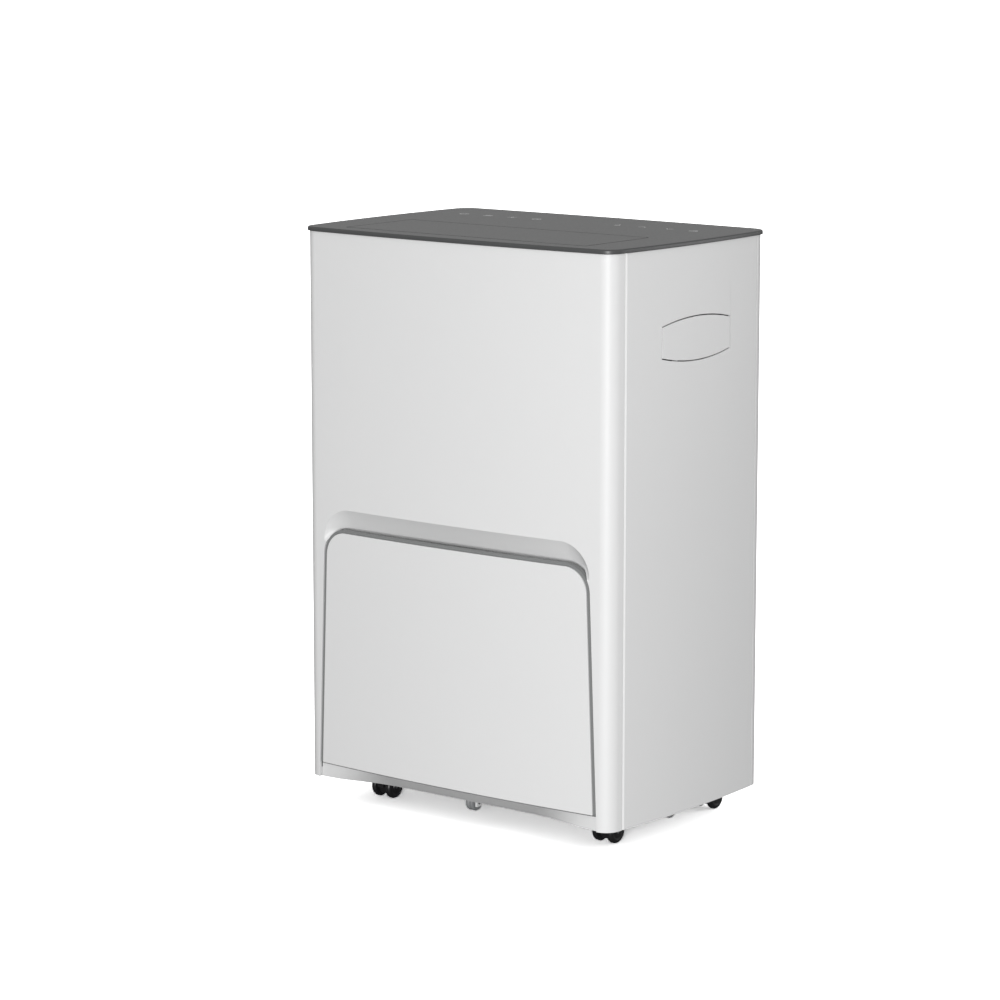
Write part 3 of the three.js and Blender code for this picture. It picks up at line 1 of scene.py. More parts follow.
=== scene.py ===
from math import asin, atan2, cos, pi, radians, sin, sqrt, tan
import bpy
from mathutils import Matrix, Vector


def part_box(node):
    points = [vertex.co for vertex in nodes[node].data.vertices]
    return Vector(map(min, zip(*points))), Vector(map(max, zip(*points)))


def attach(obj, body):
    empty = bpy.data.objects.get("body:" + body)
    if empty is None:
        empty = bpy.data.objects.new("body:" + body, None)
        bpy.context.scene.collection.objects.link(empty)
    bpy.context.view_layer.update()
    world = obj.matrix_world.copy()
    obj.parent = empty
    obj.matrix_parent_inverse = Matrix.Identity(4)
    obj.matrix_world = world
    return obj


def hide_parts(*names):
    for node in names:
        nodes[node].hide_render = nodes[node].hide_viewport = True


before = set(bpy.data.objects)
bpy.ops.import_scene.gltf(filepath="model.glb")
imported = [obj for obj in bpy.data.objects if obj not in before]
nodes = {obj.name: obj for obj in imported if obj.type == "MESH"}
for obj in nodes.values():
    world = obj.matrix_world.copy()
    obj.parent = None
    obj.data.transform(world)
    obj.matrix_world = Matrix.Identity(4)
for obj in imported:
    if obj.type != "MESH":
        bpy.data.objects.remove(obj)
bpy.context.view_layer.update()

# ---- View, floor and light ------------------------------------------------------------------
# A long lens from the front right, a little above the machine, over a plain white sweep. The
# light is a large soft box beside the lens, a weak one behind the right side, and white walls
# all round. The walls and the floor look brighter to the lens than the light that they give.
lens = bpy.data.cameras.new("view")
lens.lens = 129.4
camera = bpy.data.objects.new("view", lens)
camera.location = (2.2751, -2.9373, 0.9788)
camera.rotation_euler = (radians(90 - 9.89), 0, radians(38.29))
bpy.context.scene.collection.objects.link(camera)
bpy.context.scene.camera = camera
bpy.context.scene.view_settings.view_transform = "Standard"


def node(tree, kind, values=(), **settings):
    """One shader node: its settings by name, then values or links for its inputs."""
    made = tree.nodes.new(kind)
    for key, value in settings.items():
        setattr(made, key, value)
    for socket, value in dict(values).items():
        if isinstance(value, bpy.types.NodeSocket):
            tree.links.new(value, made.inputs[socket])
        else:
            made.inputs[socket].default_value = value
    return made


walls_glow, walls_seen = 0.5, 1.0
tent = bpy.data.worlds.new("tent")
tent.use_nodes = True
tree = tent.node_tree
seen = node(tree, "ShaderNodeLightPath").outputs["Is Camera Ray"]
glow = node(tree, "ShaderNodeMapRange", {"Value": seen, "To Min": walls_glow, "To Max": walls_seen})
tree.nodes["Background"].inputs["Color"].default_value = (1, 1, 1, 1)
tree.links.new(glow.outputs[0], tree.nodes["Background"].inputs["Strength"])
bpy.context.scene.world = tent

bpy.ops.object.select_all(action="DESELECT")
bpy.ops.mesh.primitive_plane_add(size=60, location=(0, 0, -0.0002))
floor = bpy.context.object
floor.name = "floor"
sweep = bpy.data.materials.new("sweep")
sweep.use_nodes = True
tree = sweep.node_tree
seen = node(tree, "ShaderNodeLightPath").outputs["Is Camera Ray"]
tone = node(tree, "ShaderNodeMapRange", {"Value": seen, "To Min": 0.3, "To Max": 4.0})
tree.links.new(tone.outputs[0], tree.nodes["Principled BSDF"].inputs["Base Color"])
tree.nodes["Principled BSDF"].inputs["Roughness"].default_value = 0.9
tree.nodes["Principled BSDF"].inputs["Specular IOR Level"].default_value = 0
floor.data.materials.append(sweep)

aim_height = 0.3
for label, azimuth, elevation, away, size, power in (
    ("soft_box_lens", 33, 3, 4.0, 1.2, 124),
    ("soft_box_side", 138, 8, 2.2, 0.7, 5),
):
    lamp = bpy.data.lights.new(label, "AREA")
    lamp.shape = "SQUARE"
    lamp.size = size
    lamp.energy = power
    box = bpy.data.objects.new(label, lamp)
    level = away * cos(radians(elevation))
    box.location = (
        level * sin(radians(azimuth)), -level * cos(radians(azimuth)),
        aim_height + away * sin(radians(elevation)),
    )
    box.rotation_euler = (Vector((0, 0, aim_height)) - box.location).to_track_quat("-Z", "Y").to_euler()
    bpy.context.scene.collection.objects.link(box)

# ---- Front housing --------------------------------------------------------------------------
# The white wall that carries the two rounded columns beside the tank, the finger scoop above it
# and the opening it slides through. Injection-moulded ABS with a fine satin texture.
width, depth = 0.397, 0.2783
front_bow, rear_bow, side_bow = 0.0078, 0.0035, 0.0066
front_round, rear_round = 0.016, 0.018
wall_thickness = 0.0028


def bow_radius(half, bow):
    return (half * half + bow * bow) / (2 * bow)


chord_front, chord_rear = -depth / 2 + front_bow, depth / 2 - rear_bow
middle_y, side_half = (chord_front + chord_rear) / 2, (chord_rear - chord_front) / 2
front_radius = bow_radius(width / 2, front_bow)
rear_radius = bow_radius(width / 2, rear_bow)
side_radius = bow_radius(side_half, side_bow)
side_reach = width / 2 + side_bow
# Each wall's circle: its centre, its radius, the rounding that follows it, and its steps.
walls = (
    (Vector((0, front_radius - depth / 2)), front_radius, front_round, 72),
    (Vector((side_reach - side_radius, middle_y)), side_radius, rear_round, 44),
    (Vector((0, depth / 2 - rear_radius)), rear_radius, rear_round, 60),
    (Vector((side_radius - side_reach, middle_y)), side_radius, front_round, 44),
)


def arc(centre, radius, start, end, steps):
    angles = [start + (end - start) * i / steps for i in range(steps + 1)]
    return [Vector((centre[0] + radius * cos(a), centre[1] + radius * sin(a))) for a in angles]


def rounding_centre(one, two, radius):
    """The centre of the corner between two bowed walls, inside both by the corner's radius."""
    a, b = one[0], two[0]
    ra, rb = one[1] - radius, two[1] - radius
    apart = (b - a).length
    along = (ra * ra - rb * rb + apart * apart) / (2 * apart)
    across = sqrt(ra * ra - along * along)
    unit = (b - a) / apart
    turned = Vector((-unit.y, unit.x))
    return min((a + unit * along + turned * s * across for s in (-1, 1)), key=lambda p: p.length)


def plan(inset):
    """The cabinet's outline from above, counterclockwise, moved inwards by inset."""
    centres = [rounding_centre(walls[i], walls[(i + 1) % 4], walls[i][2]) for i in range(4)]

    def facing(a, b, after=-9.0):
        angle = atan2(b.y - a.y, b.x - a.x)
        return angle + 2 * pi if angle < after - 1e-9 else angle

    points = []
    for i, (centre, radius, rounding, steps) in enumerate(walls):
        start = facing(centre, centres[i - 1])
        end = facing(centre, centres[i], start)
        points += arc(centre, radius - inset, start, end, steps)
        stop = facing(walls[(i + 1) % 4][0], centres[i], end)
        points += arc(centres[i], max(rounding - inset, 0.0004), end, stop, 14)[1:-1]
    return points


def front_at(x, inset=0.0):
    return front_radius - depth / 2 - sqrt((front_radius - inset) ** 2 - x * x)


def stretch(outline, inside):
    """The part of a closed outline where inside(point) is positive, cut exactly at its ends."""
    count = len(outline)

    def crossing(a, b):
        return a.lerp(b, inside(a) / (inside(a) - inside(b)))

    i = next(i for i in range(count) if inside(outline[i - 1]) < 0 <= inside(outline[i]))
    points = [crossing(outline[i - 1], outline[i])]
    while inside(outline[i % count]) >= 0:
        points.append(outline[i % count])
        i += 1
    points.append(crossing(outline[(i - 1) % count], outline[i % count]))
    return points


def raised(name, outline, low, high, along="z"):
    """A solid of one outline: a filled circle set on it, then extruded along an axis."""
    place = {
        "z": lambda a, b, c: (a, b, c),
        "y": lambda a, b, c: (a, c, b),
        "x": lambda a, b, c: (c, a, b),
    }[along]
    bpy.ops.object.select_all(action="DESELECT")
    bpy.ops.mesh.primitive_circle_add(vertices=len(outline), radius=0.1, fill_type="NGON")
    piece = bpy.context.object
    piece.name = name
    for vertex, point in zip(piece.data.vertices, outline):
        vertex.co = place(point[0], point[1], low)
    bpy.ops.object.mode_set(mode="EDIT")
    bpy.ops.mesh.select_all(action="SELECT")
    bpy.ops.mesh.extrude_region_move(TRANSFORM_OT_translate={"value": place(0, 0, high - low)})
    bpy.ops.mesh.select_all(action="SELECT")
    bpy.ops.mesh.normals_make_consistent(inside=False)
    bpy.ops.object.mode_set(mode="OBJECT")
    return piece


def lofted(name, rings):
    """A skin through rings of points: a grid wrapped round on itself, with both ends filled."""
    count = len(rings[0])
    bpy.ops.object.select_all(action="DESELECT")
    bpy.ops.mesh.primitive_grid_add(x_subdivisions=count, y_subdivisions=len(rings) - 1, size=1)
    piece = bpy.context.object
    piece.name = name
    for k, ring in enumerate(rings):
        for i in range(count + 1):
            piece.data.vertices[k * (count + 1) + i].co = ring[i % count]
    bpy.ops.object.mode_set(mode="EDIT")
    bpy.ops.mesh.select_all(action="SELECT")
    bpy.ops.mesh.remove_doubles(threshold=1e-7)
    bpy.ops.mesh.fill_holes(sides=0)
    bpy.ops.mesh.select_all(action="SELECT")
    bpy.ops.mesh.normals_make_consistent(inside=False)
    bpy.ops.object.mode_set(mode="OBJECT")
    return piece


def block(name, x0, x1, y0, y1, z0, z1):
    return raised(name, [(x0, y0), (x1, y0), (x1, y1), (x0, y1)], z0, z1)


def pin(name, axis, radius, low, high, at, sides=48):
    """A round bar along an axis, from low to high on it, at two coordinates across it."""
    return raised(name, arc(at, radius, 0, 2 * pi, sides)[:-1], low, high, axis)


def picked(*pieces):
    """Selects these pieces and no others, and makes the first of them the active one."""
    bpy.ops.object.select_all(action="DESELECT")
    for piece in pieces:
        piece.select_set(True)
    bpy.context.view_layer.objects.active = pieces[0]
    return pieces[0]


def applied(piece, kind, **settings):
    """Adds a modifier with its settings to a piece and applies it at once."""
    modifier = piece.modifiers.new(kind.lower(), kind)
    for key, value in settings.items():
        setattr(modifier, key, value)
    picked(piece)
    bpy.ops.object.modifier_apply(modifier=modifier.name)
    return piece


def carved(piece, *tools, how="DIFFERENCE"):
    for tool in tools:
        applied(piece, "BOOLEAN", object=tool, operation=how, solver="MANIFOLD")
        bpy.data.objects.remove(tool)
    return piece


def joined(piece, *others):
    return carved(piece, *others, how="UNION")


def rounded_off(piece, size, segments=2, angle=32):
    """Rounds every crisp edge of a finished shape and shades it smoothly between flat faces."""
    picked(piece)
    bpy.ops.object.mode_set(mode="EDIT")
    bpy.ops.mesh.select_all(action="SELECT")
    bpy.ops.mesh.remove_doubles(threshold=2e-6)
    bpy.ops.mesh.dissolve_degenerate(threshold=1e-6)
    bpy.ops.object.mode_set(mode="OBJECT")
    applied(
        piece, "BEVEL", width=size, segments=segments, limit_method="ANGLE",
        angle_limit=radians(angle), use_clamp_overlap=True, miter_outer="MITER_ARC",
    )
    bpy.ops.object.shade_smooth_by_angle(angle=radians(50))
    applied(piece, "WEIGHTED_NORMAL", keep_sharp=True, weight=60)
    return piece


def group(name, inputs, outputs):
    """An empty shader node group with its sockets, and its input and output nodes."""
    tree = bpy.data.node_groups.new(name, "ShaderNodeTree")
    for label, kind, value in inputs:
        socket = tree.interface.new_socket(label, in_out="INPUT", socket_type=kind)
        socket.default_value = value
    for label, kind in outputs:
        tree.interface.new_socket(label, in_out="OUTPUT", socket_type=kind)
    return tree, tree.nodes.new("NodeGroupInput"), tree.nodes.new("NodeGroupOutput")


# Moulded plastic: a spark-eroded grain, a slow drift of tone, and slightly uneven gloss.
tree, given, result = group(
    "moulded_grain",
    [
        ("Colour", "NodeSocketColor", (0.8, 0.8, 0.8, 1)),
        ("Tone drift", "NodeSocketFloat", 0.02),
        ("Roughness", "NodeSocketFloat", 0.45),
        ("Grain per metre", "NodeSocketFloat", 1500.0),
        ("Grain depth", "NodeSocketFloat", 0.12),
    ],
    [
        ("Colour", "NodeSocketColor"),
        ("Roughness", "NodeSocketFloat"),
        ("Normal", "NodeSocketVector"),
    ],
)
here = node(tree, "ShaderNodeTexCoord").outputs["Object"]
cells = node(tree, "ShaderNodeTexVoronoi", {"Vector": here, "Scale": given.outputs["Grain per metre"]},
             feature="SMOOTH_F1")
haze = node(tree, "ShaderNodeTexNoise", {"Vector": here, "Scale": 420.0, "Detail": 3.0})
drift = node(tree, "ShaderNodeTexNoise", {"Vector": here, "Scale": 5.0, "Detail": 2.0})
swing = node(tree, "ShaderNodeMath", {0: drift.outputs["Fac"], 1: 0.5}, operation="SUBTRACT")
tone = node(tree, "ShaderNodeMath", {0: swing.outputs[0], 1: given.outputs["Tone drift"], 2: 1.0},
            operation="MULTIPLY_ADD")
tinted = node(tree, "ShaderNodeVectorMath", {0: given.outputs["Colour"]}, operation="SCALE")
tree.links.new(tone.outputs[0], tinted.inputs["Scale"])
uneven = node(tree, "ShaderNodeMath", {0: haze.outputs["Fac"], 1: 0.1, 2: -0.05}, operation="MULTIPLY_ADD")
gloss = node(tree, "ShaderNodeMath", {0: given.outputs["Roughness"], 1: uneven.outputs[0]}, operation="ADD")
height = node(tree, "ShaderNodeMath", {0: haze.outputs["Fac"], 1: cells.outputs["Distance"]}, operation="ADD")
bump = node(tree, "ShaderNodeBump", {"Strength": given.outputs["Grain depth"], "Distance": 0.0002,
                                     "Height": height.outputs[0]})
tree.links.new(tinted.outputs[0], result.inputs["Colour"])
tree.links.new(gloss.outputs[0], result.inputs["Roughness"])
tree.links.new(bump.outputs["Normal"], result.inputs["Normal"])


def moulded(name, colour, roughness, grain=1500.0, depth=0.12, drift=0.02, **sockets):
    """A plastic: its own Principled shader over the moulded grain."""
    made = bpy.data.materials.new(name)
    made.use_nodes = True
    shader = made.node_tree.nodes["Principled BSDF"]
    skin = node(made.node_tree, "ShaderNodeGroup", node_tree=bpy.data.node_groups["moulded_grain"])
    for label, value in (("Colour", (*colour, 1)), ("Tone drift", drift), ("Roughness", roughness),
                         ("Grain per metre", grain), ("Grain depth", depth)):
        skin.inputs[label].default_value = value
    made.node_tree.links.new(skin.outputs["Colour"], shader.inputs["Base Color"])
    made.node_tree.links.new(skin.outputs["Roughness"], shader.inputs["Roughness"])
    made.node_tree.links.new(skin.outputs["Normal"], shader.inputs["Normal"])
    for label, value in sockets.items():
        shader.inputs[label.replace("_", " ")].default_value = value
    return made


def settled(piece, material, body, slot, *stands_for):
    """Gives a finished piece its material and hands it to the body that it moves with."""
    piece.data.materials.clear()
    piece.data.materials.append(material)
    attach(piece, body)
    if stands_for:
        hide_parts(*stands_for)
    return piece


white_abs = moulded("white_abs", (0.755, 0.757, 0.757), 0.42, Specular_IOR_Level=0.3)

face_low, face_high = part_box("tank_face")
face_bottom, face_top = face_low.z, face_high.z
face_bottom_half, face_top_half = 0.1789, 0.1696
face_rounding = 0.026
bezel_rim, opening_gap = 0.0034, 0.001
face_slope = (face_bottom_half - face_top_half) / (face_top - face_bottom)


def tank_outline(margin, bottom=None, top=None, rounding=None, steps=16, across=1):
    """The tank face's leaning outline with its two rounded top corners, grown by margin."""
    bottom = face_bottom if bottom is None else bottom
    top = face_top + margin if top is None else top
    rounding = face_rounding + margin if rounding is None else rounding

    def half(z):
        return face_bottom_half + margin - face_slope * (z - face_bottom)

    def run(start, end):
        return [start.lerp(end, i / across) for i in range(1, across)]

    lean = atan2(half(bottom) - half(top), top - bottom)
    centre = (half(top) - rounding * tan(pi / 4 - lean / 2), top - rounding)
    right = arc(centre, rounding, lean, pi / 2, steps)
    left = [Vector((-p.x, p.y)) for p in reversed(right)]
    feet = Vector((-half(bottom), bottom)), Vector((half(bottom), bottom))
    return [feet[0], *run(*feet), feet[1], *right, *run(right[-1], left[0]), *left]


low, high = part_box("front_housing")
seam_y = rounding_centre(walls[0], walls[1], front_round).y + 0.0045
scoop_top, scoop_end, scoop_back = 0.3234, 0.286, -0.12
backing_wall, backing_bottom = 0.0026, 0.288
rim = bezel_rim + opening_gap
edge = plan(0)
front_housing = raised(
    "front_housing_skin",
    stretch(edge, lambda p: seam_y - p.y) + stretch(plan(wall_thickness), lambda p: seam_y - p.y)[::-1],
    low.z, high.z,
)
backing_half = face_top_half + rim + backing_wall
backing = stretch(plan(0.0014), lambda p: min(backing_half - abs(p.x), -p.y))
backing += [Vector((x, scoop_back + backing_wall)) for x in (backing_half, -backing_half)]
joined(front_housing, raised("backing", backing, backing_bottom, scoop_top + backing_wall))
# The scoop deepens from its outer edge on the face, and fades out down both sides of the tank.
outer = tank_outline(rim, scoop_end - 0.004, scoop_top, 0.036, 24, 60)
inner = tank_outline(rim - 0.006, scoop_end, face_top - 0.004, face_rounding, 24, 60)
rings = [[(p.x, scoop_back - 0.00005, p.y) for p in inner]]
for k in range(19):
    t = 1 - k / 18
    ring = []
    for a, b in zip(outer, inner):
        p = a.lerp(b, t)
        fade = min(1.0, max(0.0, (p.y - scoop_end) / (face_top - scoop_end)))
        reach = (scoop_back - front_at(p.x)) * fade * t * (1.4 - 0.4 * t)
        ring.append((p.x, front_at(p.x) - 0.0002 + reach, p.y))
    rings.append(ring)
rings.append([(x, y - 0.01, z) for x, y, z in rings[-1]])
carved(
    front_housing,
    raised("opening", tank_outline(rim, 0.0), -0.2, scoop_back, "y"),
    lofted("scoop", rings),
)
rounded_off(front_housing, 0.0006)
settled(front_housing, white_abs, "cabinet", "white_shell", "front_housing")

# ---- Side panels ----------------------------------------------------------------------------
# Two bowed white panels that snap in behind the front housing. Each front edge is chamfered
# beside the seam, and each has the barrel-shaped opening of its grip. Moulded ABS.
low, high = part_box("right_side_panel")
rear_seam_y = rounding_centre(walls[1], walls[2], rear_round).y
grip_y, grip_z = 0.006, 0.5185
grip_half, grip_end, grip_middle = 0.0588, 0.0156, 0.022
panel_gap, grip_gap = 0.001, 0.001


def grip_outline(margin, steps=40):
    """The barrel shape of the side grip, grown by margin, as (y, z) points."""
    radius = bow_radius(grip_half, grip_middle - grip_end)
    spread = asin((grip_half + margin) / (radius + margin))
    centre = (grip_y, grip_z + grip_middle - radius)
    top = arc(centre, radius + margin, pi / 2 - spread, pi / 2 + spread, steps)
    return top + [Vector((2 * grip_y - p.x, 2 * grip_z - p.y)) for p in top]


for side, label in ((1, "right"), (-1, "left")):
    def within(p, side=side):
        return min(p.y - seam_y - panel_gap, rear_seam_y - panel_gap - p.y, p.x * side)

    far, near = stretch(plan(0), within), stretch(plan(wall_thickness), within)
    panel = raised(f"{label}_side_skin", far + near[::-1], low.z, high.z)
    tip = (far[0] if side > 0 else far[-1]).copy()
    slope = [
        (tip.x - side * 0.0022, tip.y - 0.002), (tip.x + side * 0.002, tip.y - 0.002),
        (tip.x + side * 0.002, tip.y + 0.0044), (tip.x + side * 0.0001, tip.y + 0.0026),
        (tip.x - side * 0.0022, tip.y),
    ]
    reach = (0.1, 0.3) if side > 0 else (-0.3, -0.1)
    carved(
        panel,
        raised("chamfer", slope, 0.0, 0.7),
        raised("opening", grip_outline(grip_gap), *reach, "x"),
    )
    rounded_off(panel, 0.0004)
    settled(panel, white_abs, "cabinet", "white_shell", f"{label}_side_panel")

# ---- Rear housing ---------------------------------------------------------------------------
# The white back of the cabinet with its rounded corners, the opening for the intake cassette,
# and the holes for the drain outlet and the cord. Moulded ABS, screwed to the base pan.
low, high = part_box("rear_housing")
intake_low, intake_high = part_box("intake_grille")
plug_low, plug_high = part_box("drain_plug")
gland_low, gland_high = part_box("cord_gland")
drain_at = ((plug_low.x + plug_high.x) / 2, (plug_low.z + plug_high.z) / 2)
cord_at = ((gland_low.x + gland_high.x) / 2, (gland_low.z + gland_high.z) / 2)
intake_gap, drain_hole, cord_hole = 0.0008, 0.011, 0.007
far = stretch(plan(0), lambda p: p.y - rear_seam_y)
near = stretch(plan(wall_thickness), lambda p: p.y - rear_seam_y)
rear_housing = raised("rear_housing_skin", far + near[::-1], low.z, high.z)
carved(
    rear_housing,
    block("intake", intake_low.x - intake_gap, intake_high.x + intake_gap, 0, 0.2,
          intake_low.z - intake_gap, intake_high.z + intake_gap),
    pin("drain", "y", drain_hole, 0, 0.2, drain_at),
    pin("cord", "y", cord_hole, 0, 0.2, cord_at),
)
rounded_off(rear_housing, 0.0005)
settled(rear_housing, white_abs, "cabinet", "white_shell", "rear_housing")

# ---- Intake cassette ------------------------------------------------------------------------
# A slotted white cover flush with the back, with a washable filter clipped into it: a black
# frame round a fine nylon mesh.
far = stretch(plan(0), lambda p: min(p.y, intake_high.x - abs(p.x)))
near = stretch(plan(wall_thickness), lambda p: min(p.y, intake_high.x - abs(p.x)))
intake = raised("intake_skin", far + near[::-1], intake_low.z, intake_high.z)
slot_rows, slot_columns, slot_radius = 14, 4, 0.004
row_margin, column_margin = 0.01, 0.008
row_pitch = (intake_high.z - intake_low.z - 2 * row_margin) / slot_rows
column_pitch = (2 * intake_high.x - 2 * column_margin) / slot_columns
slots = []
for row in range(slot_rows):
    z = intake_low.z + row_margin + row_pitch * (row + 0.5)
    for column in range(slot_columns):
        x = -intake_high.x + column_margin + column_pitch * (column + 0.5)
        reach = column_pitch / 2 - 2 * slot_radius
        right_end = arc((x + reach, z), slot_radius, -pi / 2, pi / 2, 10)
        left_end = arc((x - reach, z), slot_radius, pi / 2, 3 * pi / 2, 10)
        slots.append(raised("slot", right_end + left_end, 0.12, 0.15, "y"))
cutter = picked(*slots)
bpy.ops.object.join()
carved(intake, cutter)
rounded_off(intake, 0.0005)
settled(intake, white_abs, "intake_cassette", "white_shell", "intake_grille")


def refined(name, size=0.0004, segments=2, angle=32, flat=2):
    """A skin over a CAD node: its triangles merged, its flat faces made whole, its edges rounded."""
    piece = bpy.data.objects.new(name + "_skin", nodes[name].data.copy())
    bpy.context.scene.collection.objects.link(piece)
    picked(piece)
    bpy.ops.object.mode_set(mode="EDIT")
    bpy.ops.mesh.select_all(action="SELECT")
    bpy.ops.mesh.remove_doubles(threshold=1e-6)
    bpy.ops.mesh.dissolve_limited(angle_limit=radians(flat))
    bpy.ops.object.mode_set(mode="OBJECT")
    return rounded_off(piece, size, segments, angle)


black_nylon = moulded("black_nylon", (0.018, 0.018, 0.019), 0.5, grain=1100.0, depth=0.2)
settled(refined("filter_frame"), black_nylon, "intake_cassette", "black_plastic", "filter_frame")

# The mesh lets light through between its threads.
weave = bpy.data.materials.new("filter_weave")
weave.use_nodes = True
tree = weave.node_tree
here = node(tree, "ShaderNodeTexCoord").outputs["Object"]
threads = [
    node(tree, "ShaderNodeTexWave", {"Vector": here, "Scale": 110.0, "Distortion": 0.0},
         wave_type="BANDS", bands_direction=axis, wave_profile="SIN").outputs["Fac"]
    for axis in ("X", "Z")
]
crossed = node(tree, "ShaderNodeMath", {0: threads[0], 1: threads[1]}, operation="MAXIMUM")
solid_part = node(tree, "ShaderNodeMapRange", {"Value": crossed.outputs[0], "From Min": 0.6, "From Max": 0.8})
shader = tree.nodes["Principled BSDF"]
shader.inputs["Base Color"].default_value = (0.03, 0.03, 0.032, 1)
shader.inputs["Roughness"].default_value = 0.6
tree.links.new(solid_part.outputs[0], shader.inputs["Alpha"])
raised_thread = node(tree, "ShaderNodeBump", {"Strength": 0.6, "Distance": 0.0003,
                                              "Height": crossed.outputs[0]})
tree.links.new(raised_thread.outputs["Normal"], shader.inputs["Normal"])
nodes["filter_mesh"].data.materials.clear()
nodes["filter_mesh"].data.materials.append(weave)

# ---- Top panel ------------------------------------------------------------------------------
# The charcoal lid of the cabinet, which overhangs the white shells a little and carries the
# touch keys, the outlet opening, and a bearing hole for the louvre at each end of it. Moulded
# ABS with a satin lacquer and a rounded rim.
low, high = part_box("top_panel")
louvre_low, louvre_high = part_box("outlet_louvre")
louvre_half = 0.155
louvre_front, louvre_rear = louvre_low.y, louvre_high.y
slab_bottom, slab_top = 0.6129, high.z - 0.00006
overhang = 0.0023
charcoal = moulded("charcoal_lacquer", (0.075, 0.0765, 0.077), 0.33, grain=2200.0, depth=0.04, drift=0.03,
                   Specular_IOR_Level=0.3)


def rounded_rectangle(x0, x1, y0, y1, radius, steps=8):
    return (
        arc((x1 - radius, y0 + radius), radius, -pi / 2, 0, steps)
        + arc((x1 - radius, y1 - radius), radius, 0, pi / 2, steps)
        + arc((x0 + radius, y1 - radius), radius, pi / 2, pi, steps)
        + arc((x0 + radius, y0 + radius), radius, pi, 3 * pi / 2, steps)
    )


def rim_rounded(piece, height, size, segments):
    """Rounds only the outer rim of a slab, at one height."""
    picked(piece)
    bpy.ops.object.mode_set(mode="OBJECT")
    for part in (piece.data.vertices, piece.data.edges, piece.data.polygons):
        for one in part:
            one.select = False
    for line in piece.data.edges:
        ends = [piece.data.vertices[i].co for i in line.vertices]
        line.select = all(abs(p.z - height) < 1e-5 for p in ends)
    bpy.ops.object.mode_set(mode="EDIT")
    bpy.ops.mesh.select_mode(type="EDGE")
    bpy.ops.mesh.bevel(offset=size, segments=segments, affect="EDGES")
    bpy.ops.object.mode_set(mode="OBJECT")
    return piece


slab = raised("top_panel_skin", plan(-overhang), slab_bottom, slab_top)
rim_rounded(slab, slab_top, 0.0017, 5)
rim_rounded(slab, slab_bottom, 0.0006, 3)
skirt_ring = raised("skirt", plan(0.0032), 0.6045, slab_bottom + 0.0006)
carved(skirt_ring, raised("inside", plan(0.0052), 0.60, 0.62))
collar = block("collar", -0.1583, 0.1583, louvre_front - 0.0033, louvre_rear + 0.0033,
               low.z, slab_bottom + 0.0008)
joined(slab, skirt_ring, collar)
carved(
    slab,
    raised("outlet", rounded_rectangle(-0.1561, 0.1561, louvre_front - 0.0011, louvre_rear + 0.0008, 0.0028),
           0.5, 0.7),
)
rounded_off(slab, 0.0003, 2, 40)
axis_y, axis_z = louvre_rear - 0.003, high.z - 0.003
pin_radius, pin_reach = 0.0014, 0.1608
bearing_radius, bearing_reach = pin_radius + 0.00015, pin_reach + 0.0004
carved(slab, pin("bearings", "x", bearing_radius, -bearing_reach, bearing_reach, (axis_y, axis_z)))
settled(slab, charcoal, "cabinet", "charcoal_top", "top_panel")

# ---- Outlet louvre and grille ---------------------------------------------------------------
# The flap over the outlet lies flush with the top when it is shut. Its rear edge is a barrel
# with a stub pin at each end, in the same plastic as the top. The grille below it is black.
louvre_outline = rounded_rectangle(
    -louvre_half + 0.0004, louvre_half - 0.0004, louvre_front + 0.0004, axis_y + 0.0022, 0.0022
)
plate = raised("outlet_louvre_skin", louvre_outline, slab_top - 0.0024, slab_top)
barrel = pin("barrel", "x", 0.0029, -louvre_half, louvre_half, (axis_y, axis_z))
joined(plate, barrel, pin("pins", "x", pin_radius, -pin_reach, pin_reach, (axis_y, axis_z)))
rounded_off(plate, 0.0003, 2, 40)
settled(plate, charcoal, "louvre", "charcoal_top", "outlet_louvre")
settled(refined("outlet_grille", 0.0003), black_nylon, "cabinet", "black_plastic", "outlet_grille")

# ---- Touch keys -----------------------------------------------------------------------------
# Eight printed marks in a pale grey, four at each side of the middle, near the rear edge. They
# are plain signs: a ring, bars, an arrow and the like, a little proud of the lacquer.
pale_print = moulded("pale_print", (0.86, 0.87, 0.87), 0.6, Specular_IOR_Level=0.2)
key_y, key_size, key_pitch = 0.0747, 0.0052, 0.0328
first_left_key, first_right_key = -0.1518, 0.0534


